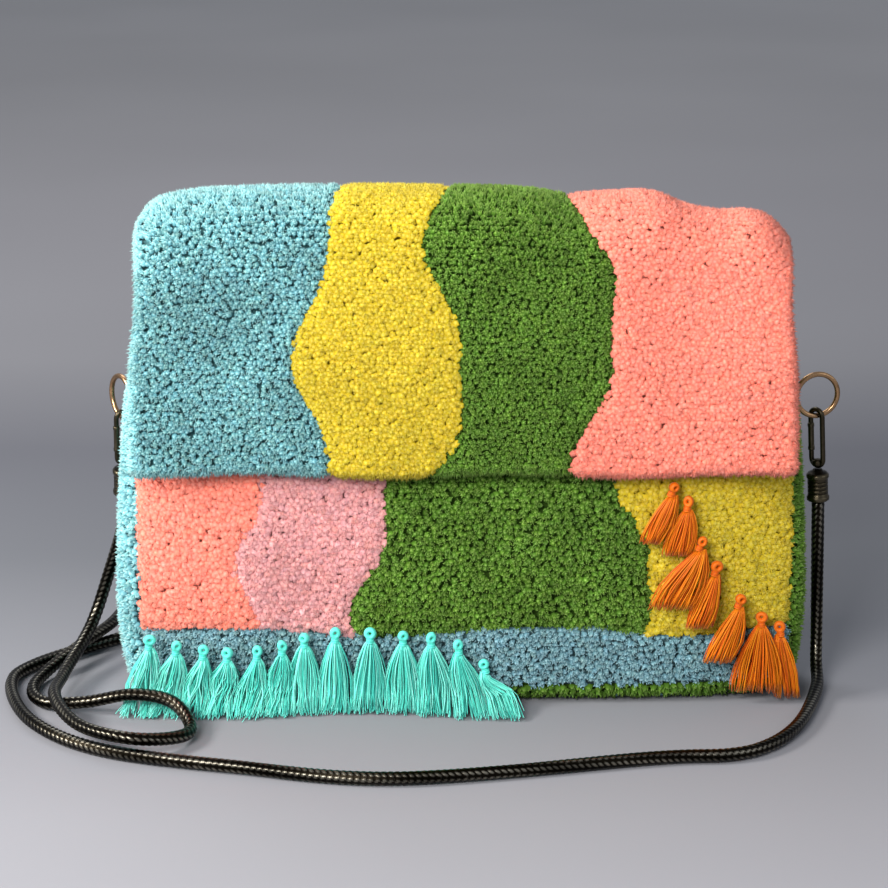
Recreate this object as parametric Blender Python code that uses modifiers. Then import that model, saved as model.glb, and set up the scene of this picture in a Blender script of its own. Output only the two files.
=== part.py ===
"""A tufted flap shoulder bag, standing on its flat bottom, in metres with +Z up and its front towards -Y.

The pouch is a soft box sewn from a front panel and a back panel that wraps round the sides and the bottom.
A flap is sewn to the top of the back and folds over the front. Two rows of cotton tassels trim the front, and a
round braided strap hangs from a ring at each side and lies on the floor.
"""

import math

import bmesh
import bpy
import numpy as np
from mathutils import Matrix, Vector

TOP_HEIGHT = 0.2415
PANEL_THICKNESS = 0.007
FLAP_THICKNESS = 0.008
GAP = 0.0003

FRONT_POWER = 3.6
BACK_POWER = 2.4
SECTION_POINTS = 48
BOTTOM_RADIUS = 0.009
BOTTOM_STEPS = 3

SEAM_LEFT_X = -0.151
SEAM_RIGHT_X = 0.155
SEAM_BOTTOM_Z = 0.0085
SEAM_DEPTH_Y = -0.006

FLAP_COLUMNS = 28
FLAP_EDGE = 0.0032
FLAP_EDGE_SHARE = 0.42
FLAP_CORNER = 0.0045
FLAP_REAR_TAPER = 0.045
TASSEL_CLEARANCE = 0.0009
HEAD_BASE = -0.0046

RING_RADIUS = 0.0100
RING_WIRE = 0.00125
HOOK_HALF_WIDTH = 0.0034
HOOK_LENGTH = 0.0275
HOOK_WIRE = 0.00120
HOOK_END_STEPS = 8
FERRULE_LENGTH = 0.0155
FERRULE_RADIUS = 0.0053
FERRULE_LIP = 0.0010

STRAP_DIAMETER = 0.0063
STRAP_POINTS = 80

STRANDS_ACROSS = 4
STRANDS_DEEP = 2
HEAD_WIDTH = 0.0054
HEAD_DEPTH = 0.0048
ROOT_WIDTH = 0.0058
ROOT_DEPTH = 0.0034
STRAND_DEPTH = 0.0020

# Pouch sections: height, half width and half depth of the outside.
POUCH_ROWS = (
    # height, half_width, half_depth
    (0.0000, 0.1585, 0.0335),
    (0.0200, 0.1622, 0.0346),
    (0.0450, 0.1635, 0.0350),
    (0.0800, 0.1620, 0.0345),
    (0.1150, 0.1592, 0.0325),
    (0.1450, 0.1568, 0.0300),
    (0.1800, 0.1530, 0.0262),
    (0.2155, 0.1480, 0.0205),
)
POUCH_LEVELS = (0.022, 0.040, 0.060, 0.080, 0.100, 0.120, 0.140, 0.160, 0.178, 0.195, 0.2155)

# The ridge where the flap folds over, seen from the front.
RIDGE_ROWS = (
    # x, height
    (-0.152, 0.2060),
    (-0.147, 0.2200),
    (-0.139, 0.2335),
    (-0.126, 0.2385),
    (-0.105, 0.2405),
    (-0.060, 0.2415),
    (-0.005, 0.2413),
    (0.028, 0.2402),
    (0.048, 0.2375),
    (0.068, 0.2386),
    (0.086, 0.2384),
    (0.100, 0.2330),
    (0.116, 0.2300),
    (0.134, 0.2292),
    (0.145, 0.2195),
    (0.153, 0.2040),
)

# The flap's middle surface in side view, from the back seam over the top and down to the hem.
FLAP_ROWS = (
    # y, fall below the ridge
    (0.0166, 0.0211),
    (0.0158, 0.0140),
    (0.0122, 0.0062),
    (0.0050, 0.0014),
    (-0.0040, 0.0000),
    (-0.0128, 0.0018),
    (-0.0200, 0.0075),
    (-0.0246, 0.0155),
    (-0.0280, 0.0270),
    (-0.0312, 0.0430),
    (-0.0338, 0.0610),
    (-0.0359, 0.0790),
    (-0.0375, 0.0970),
    (-0.0385, 0.1130),
    (-0.0388, 0.1240),
)
FLAP_WIDTHS = (
    # fall, left edge, right edge
    (0.0000, -0.1490, 0.1500),
    (0.0400, -0.1480, 0.1490),
    (0.0800, -0.1500, 0.1510),
    (0.1300, -0.1515, 0.1530),
)

# The rings' places in the bag's sides, the turns about Z in degrees, and the way the strap's ends hang.
FITTINGS = {
    "right": {
        "ring_centre": (0.1650, 0.0, 0.1415),
        "ring_turn": 12,
        "hook_turn": -48,
        "hang": (0.0030, 0.0, -0.0450),
    },
    "left": {
        "ring_centre": (-0.1590, 0.0105, 0.1375),
        "ring_turn": -55,
        "hook_turn": 38,
        "hang": (-0.0020, 0.0085, -0.0420),
    },
}

# Turquoise tassels: the head's place on the front, and where the skirt ends on the floor.
TURQUOISE_ROWS = (
    # head_x, head_z, foot_x, foot_y
    (-0.1440, 0.0345, -0.1505, -0.0500),
    (-0.1317, 0.0315, -0.1375, -0.0505),
    (-0.1193, 0.0295, -0.1245, -0.0510),
    (-0.1083, 0.0280, -0.1120, -0.0515),
    (-0.0944, 0.0290, -0.0985, -0.0520),
    (-0.0828, 0.0315, -0.0858, -0.0500),
    (-0.0725, 0.0355, -0.0733, -0.0475),
    (-0.0582, 0.0380, -0.0585, -0.0460),
    (-0.0421, 0.0378, -0.0427, -0.0455),
    (-0.0269, 0.0365, -0.0272, -0.0465),
    (-0.0140, 0.0355, -0.0122, -0.0490),
    (-0.0015, 0.0320, 0.0040, -0.0520),
    (0.0105, 0.0225, 0.0215, -0.0530),
)

# Orange tassels: the head's place, the skirt's lower end and half its width there.
ORANGE_ROWS = (
    # head_x, head_z, foot_x, foot_z, half_spread
    (0.0962, 0.1085, 0.0870, 0.0815, 0.0038),
    (0.1030, 0.1015, 0.0988, 0.0755, 0.0052),
    (0.1098, 0.0825, 0.0962, 0.0494, 0.0080),
    (0.1170, 0.0700, 0.1092, 0.0395, 0.0052),
    (0.1287, 0.0535, 0.1190, 0.0221, 0.0062),
    (0.1392, 0.0434, 0.1378, 0.0060, 0.0090),
    (0.1482, 0.0375, 0.1536, 0.0022, 0.0046),
)

# The strap's route, from the right ferrule down, along the floor in front, through the loops at the left, and up.
STRAP_ROUTE = (
    # x, y, z
    (0.1680, 0.0000, 0.0893),
    (0.1704, 0.0012, 0.0280),
    (0.1701, -0.0052, 0.0100),
    (0.1685, -0.0200, 0.0042),
    (0.1600, -0.0470, 0.0034),
    (0.1500, -0.0690, 0.0034),
    (0.1364, -0.0855, 0.0034),
    (0.1184, -0.0950, 0.0034),
    (0.0826, -0.0988, 0.0034),
    (-0.0270, -0.1190, 0.0034),
    (-0.1000, -0.1070, 0.0034),
    (-0.1600, -0.0900, 0.0034),
    (-0.1960, -0.0600, 0.0034),
    (-0.2132, -0.0180, 0.0034),
    (-0.2060, 0.0070, 0.0034),
    (-0.1740, 0.0375, 0.0034),
    (-0.1460, 0.0580, 0.0034),
    (-0.1345, 0.0720, 0.0034),
    (-0.1385, 0.0893, 0.0035),
    (-0.1520, 0.0952, 0.0038),
    (-0.1655, 0.0880, 0.0056),
    (-0.1700, 0.0700, 0.0082),
    (-0.1740, 0.0430, 0.0103),
    (-0.1860, 0.0160, 0.0094),
    (-0.1990, -0.0060, 0.0046),
    (-0.2020, -0.0240, 0.0035),
    (-0.1935, -0.0385, 0.0035),
    (-0.1740, -0.0430, 0.0058),
    (-0.1510, -0.0480, 0.0118),
    (-0.1325, -0.0537, 0.0104),
    (-0.1229, -0.0683, 0.0044),
    (-0.1285, -0.0828, 0.0060),
    (-0.1480, -0.0930, 0.0105),
    (-0.1720, -0.0780, 0.0102),
    (-0.1870, -0.0500, 0.0116),
    (-0.1880, -0.0180, 0.0092),
    (-0.1800, 0.0190, 0.0190),
    (-0.1715, 0.0285, 0.0430),
    (-0.1630, 0.0240, 0.0700),
    (-0.1611, 0.0194, 0.0862),
)


def smoothed(value, rows, column):
    """The named column of a table, read on a smooth curve through its rows."""
    places = [row[0] for row in rows]
    value = min(max(value, places[0]), places[-1])
    index = max(i for i in range(len(rows) - 1) if places[i] <= value)
    low, high = rows[index], rows[index + 1]
    before, after = rows[max(index - 1, 0)], rows[min(index + 2, len(rows) - 1)]
    span = high[0] - low[0]
    share = (value - low[0]) / span
    slope_low = (high[column] - before[column]) / (high[0] - before[0]) * span
    slope_high = (after[column] - low[column]) / (after[0] - low[0]) * span
    square, cube = share**2, share**3
    return (
        (2 * cube - 3 * square + 1) * low[column]
        + (cube - 2 * square + share) * slope_low
        + (3 * square - 2 * cube) * high[column]
        + (cube - square) * slope_high
    )


def eased(share):
    share = min(max(share, 0.0), 1.0)
    return share * share * (3 - 2 * share)


def ridge_drop(x):
    """How far the ridge lies below the bag's top at x."""
    return TOP_HEIGHT - smoothed(x, RIDGE_ROWS, 1)


def section_point(angle, half_width, half_depth):
    """A point on the soft box's section, at an angle from +X towards +Y. The back's corners are rounder."""
    across, along = math.cos(angle), math.sin(angle)
    power = 2 / (BACK_POWER if along > 0 else FRONT_POWER)
    return (
        half_width * math.copysign(abs(across) ** power, across),
        half_depth * math.copysign(abs(along) ** power, along),
    )


def section_ring(half_width, half_depth):
    """Points at even steps round the section, starting at +X."""
    angles = [2 * math.pi * i / 720 for i in range(721)]
    dense = np.array([section_point(a, half_width, half_depth) for a in angles])
    walked = np.concatenate([[0], np.cumsum(np.linalg.norm(np.diff(dense, axis=0), axis=1))])
    steps = np.linspace(0, walked[-1], SECTION_POINTS, endpoint=False)
    return [(float(np.interp(s, walked, dense[:, 0])), float(np.interp(s, walked, dense[:, 1]))) for s in steps]


def front_depth(x, z):
    """How far the front panel's outside stands before the middle plane."""
    half_width = smoothed(z, POUCH_ROWS, 1)
    half_depth = smoothed(z, POUCH_ROWS, 2)
    share = min(abs(x) / half_width, 0.999)
    return half_depth * (1 - share**FRONT_POWER) ** (1 / FRONT_POWER)


def swell(x, z):
    """The filled pouch's soft unevenness, in metres outwards."""
    return 0.0007 * math.sin(41 * x + 1.1) * math.sin(33 * z + 0.4) + 0.0004 * math.sin(97 * x - 31 * z)


def material(name, colour, roughness, metallic=0.0):
    made = bpy.data.materials.new(name)
    made.use_nodes = True
    shader = made.node_tree.nodes["Principled BSDF"]
    shader.inputs["Base Color"].default_value = (*colour, 1)
    shader.inputs["Roughness"].default_value = roughness
    shader.inputs["Metallic"].default_value = metallic
    made.diffuse_color = (*colour, 1)
    return made


def new_object(name, mesh, collection, finish=None):
    made = bpy.data.objects.new(name, mesh)
    collection.objects.link(made)
    if finish:
        mesh.materials.append(finish)
    return made


def shade_soft(obj):
    obj.data.shade_smooth()
    obj.data.set_sharp_from_angle(angle=math.radians(50))


def pouch_shell(name, collection, finish):
    """The whole soft box as one open surface with its thickness inwards."""
    shape = bmesh.new()
    rows = []
    for step in range(BOTTOM_STEPS + 1):
        turn = math.pi / 2 * step / BOTTOM_STEPS
        rows.append((BOTTOM_RADIUS * (1 - math.cos(turn)), BOTTOM_RADIUS * (1 - math.sin(turn))))
    rows += [(level, 0) for level in POUCH_LEVELS]
    loops = []
    for level, inset in rows:
        half_width = smoothed(level, POUCH_ROWS, 1) - inset
        half_depth = smoothed(level, POUCH_ROWS, 2) - inset
        loop = []
        for x, y in section_ring(half_width, half_depth):
            height = level - ridge_drop(x) * eased((level - 0.12) / (POUCH_LEVELS[-1] - 0.12))
            out = 1 + swell(x, level) / half_depth if inset == 0 else 1
            loop.append(shape.verts.new((x, y * out, height)))
        loops.append(loop)
    shape.faces.new(reversed(loops[0]))
    for low, high in zip(loops[:-1], loops[1:]):
        for i in range(SECTION_POINTS):
            j = (i + 1) % SECTION_POINTS
            shape.faces.new((low[i], low[j], high[j], high[i]))
    mesh = bpy.data.meshes.new(name)
    shape.to_mesh(mesh)
    shape.free()
    pouch = new_object(name, mesh, collection, finish)
    shell = pouch.modifiers.new("thickness", "SOLIDIFY")
    shell.thickness = PANEL_THICKNESS
    shell.offset = -1
    shell.use_even_offset = True
    return pouch


def seam_cutter(name, grow, collection):
    """The block that holds the front panel, grown for the seam's gap."""
    low = Vector((SEAM_LEFT_X - grow, -0.080, SEAM_BOTTOM_Z - grow))
    high = Vector((SEAM_RIGHT_X + grow, SEAM_DEPTH_Y + grow, TOP_HEIGHT + 0.030))
    shape = bmesh.new()
    bmesh.ops.create_cube(shape, size=1)
    mesh = bpy.data.meshes.new(name)
    shape.to_mesh(mesh)
    shape.free()
    mesh.transform(Matrix.Translation((low + high) / 2) @ Matrix.Diagonal((*(high - low), 1)))
    cutter = new_object(name, mesh, collection)
    cutter.hide_render = True
    cutter.display_type = "WIRE"
    return cutter


def cut(obj, cutter, operation):
    step = obj.modifiers.new(cutter.name, "BOOLEAN")
    step.operation = operation
    step.object = cutter
    step.solver = "EXACT"


def pouch_panels(collection, cutters, finishes):
    """The front panel and the back panel, parted along the front seam."""
    front = pouch_shell("front_panel", collection, finishes["front"])
    cut(front, seam_cutter("front_panel_block", 0, cutters), "INTERSECT")
    back = pouch_shell("back_panel", collection, finishes["back"])
    cut(back, seam_cutter("front_panel_room", GAP, cutters), "DIFFERENCE")
    for side, fitting in FITTINGS.items():
        cut(back, ring_torus(f"ring_{side}_room", fitting, RING_WIRE + GAP, cutters), "DIFFERENCE")


def flap_point(share, y, fall):
    left = smoothed(fall, FLAP_WIDTHS, 1)
    right = smoothed(fall, FLAP_WIDTHS, 2)
    x = left + (right - left) * share
    x *= 1 - FLAP_REAR_TAPER * eased(y / FLAP_ROWS[0][0])
    lift = 1 - eased(fall / 0.085)
    wave = 0.0010 * math.sin(58 * x + 0.6) * eased((fall - 0.08) / 0.04)
    billow = 0.0008 * math.sin(36 * x + 25 * fall) * eased(fall / 0.03)
    ridge = TOP_HEIGHT - FLAP_THICKNESS / 2
    if y > 0:
        y *= (1 - min(abs(x) / POUCH_ROWS[-1][1], 0.995) ** BACK_POWER) ** (1 / BACK_POWER)
    return Vector((x, y - billow, ridge - fall - ridge_drop(x) * lift + wave))


def flap(collection, finish):
    """The flap as a bent sheet whose pile rounds off at its edges."""
    edge_share = FLAP_EDGE / (FLAP_WIDTHS[-1][2] - FLAP_WIDTHS[-1][1])
    shares = [0, edge_share, *np.linspace(0, 1, FLAP_COLUMNS - 1)[1:-1], 1 - edge_share, 1]
    rows = list(FLAP_ROWS)
    hem_y, hem_fall = rows[-1]
    rows.insert(-1, (hem_y + 0.0001, hem_fall - FLAP_EDGE))
    shape = bmesh.new()
    edge_layer = shape.verts.layers.deform.verify()
    grid = []
    for row, (y, fall) in enumerate(rows):
        line = []
        for column, share in enumerate(shares):
            point = flap_point(share, y, fall)
            at_hem = row == len(rows) - 1
            at_side = column in (0, len(shares) - 1)
            if at_hem and at_side:
                point += Vector((FLAP_CORNER * (1 if column == 0 else -1), 0, FLAP_CORNER * 0.5))
            vertex = shape.verts.new(point)
            vertex[edge_layer][0] = FLAP_EDGE_SHARE if at_hem or at_side else 1.0
            line.append(vertex)
        grid.append(line)
    for upper, lower in zip(grid[:-1], grid[1:]):
        for i in range(len(shares) - 1):
            shape.faces.new((upper[i], upper[i + 1], lower[i + 1], lower[i]))
    shape.normal_update()
    mesh = bpy.data.meshes.new("flap")
    shape.to_mesh(mesh)
    shape.free()
    made = new_object("flap", mesh, collection, finish)
    made.vertex_groups.new(name="pile")
    sheet = made.modifiers.new("thickness", "SOLIDIFY")
    sheet.thickness = FLAP_THICKNESS
    sheet.offset = 0
    sheet.vertex_group = "pile"
    return made


def tassel(name, head, sections, collection, finish):
    """A tassel: a bound head, and strands that stand apart below it.

    Each section gives the middle, the directions of its width and depth, half its width, the share of the width
    that the strands fill, and a strand's depth.
    """
    shape = bmesh.new()
    bmesh.ops.create_grid(shape, x_segments=STRANDS_ACROSS, y_segments=STRANDS_DEEP, size=0.5)
    bmesh.ops.reverse_faces(shape, faces=shape.faces)
    cells = [(face, face.calc_center_median()) for face in shape.faces]
    rim = [edge for edge in shape.edges if edge.is_boundary]
    outline = {vertex: math.atan2(vertex.co.y, vertex.co.x) for edge in rim for vertex in edge.verts}
    for vertex in shape.verts:
        vertex.co = Vector((vertex.co.x * ROOT_WIDTH, vertex.co.y * ROOT_DEPTH, HEAD_BASE)) + head
    rings = (
        # height, share of the head's width
        (-0.0026, 0.62),
        (-0.0012, 0.95),
        (0.0006, 1.00),
        (0.0022, 0.66),
    )
    for height, share in rings:
        made = bmesh.ops.extrude_edge_only(shape, edges=rim)["geom"]
        fresh = [v for v in made if isinstance(v, bmesh.types.BMVert)]
        rim = [e for e in made if isinstance(e, bmesh.types.BMEdge) and e.is_boundary]
        turned = {}
        for vertex in fresh:
            source = min(outline, key=lambda old: (old.co - vertex.co).length)
            turned[vertex] = outline[source]
        for vertex, angle in turned.items():
            vertex.co = head + Vector(
                (HEAD_WIDTH / 2 * share * math.cos(angle), HEAD_DEPTH / 2 * share * math.sin(angle), height)
            )
        outline = turned
    bmesh.ops.holes_fill(shape, edges=rim, sides=0)
    for face, cell in cells:
        for middle, width_way, depth_way, half_width, filled, strand_depth in sections:
            face = bmesh.ops.extrude_discrete_faces(shape, faces=[face])["faces"][0]
            centre = middle + width_way * (cell.x * 2 * half_width) + depth_way * (cell.y * 2 * strand_depth * 1.25)
            half_strand = half_width / STRANDS_ACROSS * filled
            corner_middle = face.calc_center_median()
            for vertex in face.verts:
                side = 1 if (vertex.co - corner_middle).x > 0 else -1
                depth = 1 if (vertex.co - corner_middle).dot(depth_way) > 0 else -1
                vertex.co = centre + width_way * (side * half_strand) + depth_way * (depth * strand_depth / 2)
    bmesh.ops.recalc_face_normals(shape, faces=shape.faces)
    mesh = bpy.data.meshes.new(name)
    shape.to_mesh(mesh)
    shape.free()
    shade_soft(new_object(name, mesh, collection, finish))


def turquoise_tassels(collection, finish):
    """The row along the lower left of the front, whose skirts reach the floor and splay on it."""
    feet = [row[2] for row in TURQUOISE_ROWS]
    reach = max(front_depth(x, 0.03) for x in (-0.12, 0.0))
    for index, (head_x, head_z, foot_x, foot_y) in enumerate(TURQUOISE_ROWS):
        room = min(abs(foot_x - other) for other in feet if other != foot_x)
        spread = min(room / 2 - 0.0004, 0.0072)
        y = -reach - TASSEL_CLEARANCE - HEAD_DEPTH / 2
        head = Vector((head_x, y, head_z))
        back = Vector((0, 1, 0))
        slope = Vector((0, 0.55, -0.84))
        down = Vector((0, 0, -1))
        across = Vector((1, 0, 0))
        layer = STRAND_DEPTH
        floor = layer * 1.25 + layer / 2 + GAP
        middle_x = head_x + (foot_x - head_x) * 0.45
        low_x = head_x + (foot_x - head_x) * 0.75
        sections = (
            (Vector((middle_x, y, head_z * 0.52)), across, back, spread * 0.80, 0.84, layer),
            (Vector((low_x, y - 0.0022, floor + 0.0030)), across, slope, spread * 0.92, 0.84, layer),
            (Vector((foot_x, foot_y, floor - layer * 0.62)), across, down, spread, 0.78, layer * 0.9),
        )
        tassel(f"tassel_turquoise_{index + 1:02d}", head, sections, collection, finish)


def orange_tassels(collection, finish):
    """The row that comes down slantwise from under the flap at the right."""
    for index, (head_x, head_z, foot_x, foot_z, spread) in enumerate(ORANGE_ROWS):
        reach = max(
            front_depth(head_x - HEAD_WIDTH / 2, head_z),
            front_depth(foot_x - spread, max(foot_z, BOTTOM_RADIUS)),
        )
        y = -reach - TASSEL_CLEARANCE - HEAD_DEPTH / 2
        head = Vector((head_x, y, head_z))
        foot = Vector((foot_x, y, foot_z))
        root = head + Vector((0, 0, HEAD_BASE))
        middle = root.lerp(foot, 0.5)
        back = Vector((0, 1, 0))
        across = Vector((1, 0, 0))
        sections = (
            (middle, across, back, ROOT_WIDTH / 4 + spread * 0.45, 0.84, STRAND_DEPTH),
            (foot, across, back, spread * 0.94, 0.80, STRAND_DEPTH),
        )
        tassel(f"tassel_orange_{index + 1}", head, sections, collection, finish)


def ring_torus(name, fitting, minor, collection, finish=None):
    """An upright torus at a ring's place, as the ring itself or as the room for it."""
    bpy.ops.mesh.primitive_torus_add(
        major_radius=RING_RADIUS, minor_radius=minor, major_segments=28, minor_segments=8
    )
    made = bpy.context.object
    made.name = name
    made.data.name = name
    made.data.shade_smooth()
    upright = Matrix.Rotation(math.pi / 2, 4, "X")
    turn = Matrix.Rotation(math.radians(fitting["ring_turn"]), 4, "Z")
    made.matrix_world = Matrix.Translation(fitting["ring_centre"]) @ turn @ upright
    for other in made.users_collection:
        other.objects.unlink(made)
    collection.objects.link(made)
    if finish:
        made.data.materials.append(finish)
    else:
        made.hide_render = True
        made.display_type = "WIRE"
    return made


def wire(name, points, radius, collection, finish, closed=False):
    """A round wire through the points."""
    curve = bpy.data.curves.new(name, "CURVE")
    curve.dimensions = "3D"
    curve.bevel_depth = radius
    curve.bevel_resolution = 2
    curve.use_fill_caps = not closed
    spline = curve.splines.new("POLY")
    spline.points.add(len(points) - 1)
    for point, place in zip(spline.points, points):
        point.co = (*place, 1)
    spline.use_cyclic_u = closed
    curve.materials.append(finish)
    made = bpy.data.objects.new(name, curve)
    collection.objects.link(made)
    return made


def ferrule(name, top, way, collection, finish):
    """A turned barrel with a lip at each end and a small stud on top, its axis along the way it hangs."""
    lip = FERRULE_RADIUS
    waist = FERRULE_RADIUS - FERRULE_LIP * 0.5
    profile = (
        # radius, depth below the top
        (0.0, 0.0),
        (0.0022, 0.0),
        (0.0026, 0.0012),
        (0.0042, 0.0018),
        (lip, 0.0026),
        (lip, 0.0042),
        (waist, 0.0050),
        (waist, FERRULE_LENGTH - 0.0026),
        (lip, FERRULE_LENGTH - 0.0018),
        (lip, FERRULE_LENGTH - 0.0004),
        (lip - 0.0005, FERRULE_LENGTH),
        (0.0, FERRULE_LENGTH),
    )
    shape = bmesh.new()
    corners = [shape.verts.new((radius, 0, -depth)) for radius, depth in profile]
    for low, high in zip(corners[:-1], corners[1:]):
        shape.edges.new((low, high))
    mesh = bpy.data.meshes.new(name)
    shape.to_mesh(mesh)
    shape.free()
    made = new_object(name, mesh, collection, finish)
    turn = made.modifiers.new("turn", "SCREW")
    turn.steps = 16
    turn.render_steps = 16
    turn.use_merge_vertices = True
    turn.merge_threshold = 0.00001
    made.matrix_world = Matrix.Translation(top) @ Vector((0, 0, -1)).rotation_difference(way).to_matrix().to_4x4()
    return made


def hook_points(top, way, turn):
    """A long narrow link round the way it hangs, its width turned about Z."""
    across = Vector((math.cos(turn), math.sin(turn), 0))
    across = (across - way * across.dot(way)).normalized()
    ends = (
        # middle of the round end, first angle
        (top + way * HOOK_HALF_WIDTH, 0.0),
        (top + way * (HOOK_LENGTH - HOOK_HALF_WIDTH), math.pi),
    )
    points = []
    for middle, first in ends:
        for step in range(HOOK_END_STEPS + 1):
            angle = first + math.pi * step / HOOK_END_STEPS
            points.append(middle + HOOK_HALF_WIDTH * (across * math.cos(angle) - way * math.sin(angle)))
    return points


def side_fittings(side, fitting, collection, finishes):
    """A ring sewn into the bag's side, with a hook and a ferrule hanging from it."""
    ring_torus(f"ring_{side}", fitting, RING_WIRE, collection, finishes["ring"])
    way = Vector(fitting["hang"]).normalized()
    lowest = RING_RADIUS - RING_WIRE - HOOK_WIRE - 2 * GAP
    hook_top = Vector(fitting["ring_centre"]) - Vector((0, 0, lowest))
    points = hook_points(hook_top, way, math.radians(fitting["hook_turn"]))
    wire(f"hook_{side}", points, HOOK_WIRE, collection, finishes["clasp"], closed=True)
    ferrule(f"ferrule_{side}", hook_top + way * (HOOK_LENGTH + HOOK_WIRE + GAP), way, collection, finishes["clasp"])


def route_curve(route, count):
    """Evenly spaced points on a smooth curve through the route."""
    points = np.array(route)
    ends = np.concatenate([[2 * points[0] - points[1]], points, [2 * points[-1] - points[-2]]])
    dense = []
    for p0, p1, p2, p3 in zip(ends[:-3], ends[1:-2], ends[2:-1], ends[3:]):
        for share in np.linspace(0, 1, 24, endpoint=False):
            dense.append(
                0.5 * (2 * p1 + (p2 - p0) * share + (2 * p0 - 5 * p1 + 4 * p2 - p3) * share**2
                       + (3 * p1 - p0 - 3 * p2 + p3) * share**3)
            )
    dense = np.array(dense + [points[-1]])
    walked = np.concatenate([[0], np.cumsum(np.linalg.norm(np.diff(dense, axis=0), axis=1))])
    steps = np.linspace(0, walked[-1], count)
    return [tuple(float(np.interp(s, walked, dense[:, axis])) for axis in range(3)) for s in steps]


def clear_scene():
    for obj in list(bpy.data.objects):
        bpy.data.objects.remove(obj, do_unlink=True)


def build():
    clear_scene()
    bag = bpy.data.collections.new("tufted_flap_bag")
    cutters = bpy.data.collections.new("cutters")
    bpy.context.scene.collection.children.link(bag)
    bpy.context.scene.collection.children.link(cutters)

    wool_front = material("green_wool", (0.12, 0.25, 0.04), 0.95)
    wool_back = material("blue_wool", (0.14, 0.37, 0.47), 0.95)
    wool_flap = material("coral_wool", (1.00, 0.33, 0.22), 0.95)
    turquoise = material("turquoise_cotton", (0.05, 0.62, 0.48), 0.55)
    orange = material("orange_cotton", (0.78, 0.22, 0.01), 0.55)
    bronze = material("bronze_ring", (0.30, 0.20, 0.12), 0.30, 1.0)
    gunmetal = material("gunmetal_clasp", (0.06, 0.05, 0.04), 0.35, 1.0)
    braid = material("gunmetal_braid", (0.05, 0.045, 0.03), 0.40, 1.0)

    pouch_panels(bag, cutters, {"front": wool_front, "back": wool_back})
    flap(bag, wool_flap)
    turquoise_tassels(bag, turquoise)
    orange_tassels(bag, orange)
    for side, fitting in FITTINGS.items():
        side_fittings(side, fitting, bag, {"ring": bronze, "clasp": gunmetal})
    wire("strap", route_curve(STRAP_ROUTE, STRAP_POINTS), STRAP_DIAMETER / 2, bag, braid)


build()
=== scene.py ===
"""Looks for the tufted flap shoulder bag: woollen pile, cotton tassels, a braided chain and its fittings."""

import math

import bpy
import numpy as np
from mathutils import Matrix, Vector


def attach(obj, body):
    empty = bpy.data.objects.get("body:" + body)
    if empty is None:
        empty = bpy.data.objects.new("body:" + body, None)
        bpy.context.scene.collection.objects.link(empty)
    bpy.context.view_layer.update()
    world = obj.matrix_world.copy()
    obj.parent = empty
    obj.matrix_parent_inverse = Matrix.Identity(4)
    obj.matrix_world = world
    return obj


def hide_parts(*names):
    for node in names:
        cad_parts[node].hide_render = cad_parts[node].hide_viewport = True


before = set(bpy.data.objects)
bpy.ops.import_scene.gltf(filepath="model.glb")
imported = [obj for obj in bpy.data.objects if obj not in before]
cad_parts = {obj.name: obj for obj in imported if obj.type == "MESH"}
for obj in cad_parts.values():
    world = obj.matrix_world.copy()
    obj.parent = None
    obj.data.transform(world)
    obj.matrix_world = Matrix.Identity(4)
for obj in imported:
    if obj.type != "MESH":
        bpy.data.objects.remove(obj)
bpy.context.scene.view_settings.view_transform = "Standard"
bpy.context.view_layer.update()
rng = np.random.default_rng(20)

# Driving sizes, as on the solids, in metres.
TOP_HEIGHT = 0.2415
PANEL_THICKNESS = 0.007
FLAP_THICKNESS = 0.008
FRONT_POWER = 3.6
BACK_POWER = 2.4
BOTTOM_RADIUS = 0.009
RIM_HEIGHT = 0.2155
SEAM_LEFT_X = -0.151
SEAM_RIGHT_X = 0.155
SEAM_BOTTOM_Z = 0.0085
SEAM_DEPTH_Y = -0.006
FLAP_REAR_TAPER = 0.045
GAP = 0.0003

RING_RADIUS = 0.0100
RING_WIRE = 0.00125
HOOK_HALF_WIDTH = 0.0034
HOOK_LENGTH = 0.0275
HOOK_WIRE = 0.00120
FERRULE_LENGTH = 0.0155
FERRULE_RADIUS = 0.0053
STRAP_DIAMETER = 0.0063

TASSEL_CLEARANCE = 0.0009
HEAD_WIDTH = 0.0054
HEAD_DEPTH = 0.0048
HEAD_BASE = -0.0046

# Camera: the photograph's view, looking at a point in the bag's front.
CAMERA_TARGET = Vector((-0.0080, -0.0360, 0.1290))
CAMERA_DISTANCE = 1.05
CAMERA_ELEVATION = 17.5
HALF_VIEW = 0.2001
SENSOR_WIDTH = 36.0

# Pile.
EDGE_ROUND = 0.0060
EDGE_TURN = 1.70
PILE_LENGTH = 0.0046
BACKING_DEPTH = 0.0048
FIBRE_SHARE = 0.150
FIBRE_DEPTH = 0.0016
GROOVE_WIDTH = 0.0042
GROOVE_LEAN = 0.12
EDGE_OVERLAP = 0.16
SEAM_GROOVE_DEPTH = 0.0012
FLAP_STEPS = (0.004, 0.0008)
POUCH_STEPS = (0.0015, 0.0012)
GRID_JITTER = 0.24
TUFT_RADII = (0.60, 0.78)
TUFT_TILT = 0.15
LUMPS = 0.13
LUMP_LIMIT = 0.0003
FIBRE_SPLAY = 0.30
FIBRE_LEAN = 0.16
FIBRE_DOME = 0.00035
FIBRE_FOOT_SHADE = 0.55
TIP_JITTER = 0.00022
EDGE_LENGTH = 0.0040
STRAY = 0.0004
EDGE_STRAY = 0.0013
SEAM_MARGIN = 0.10
FOOT_SEAM_MARGIN = 0.16
LOWEST_TIP = 0.0004

# The flap's soft shapes.
HEM_WAVE = 0.0010
BILLOW = 0.0008
RIDGE_FADE = 0.085

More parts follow.
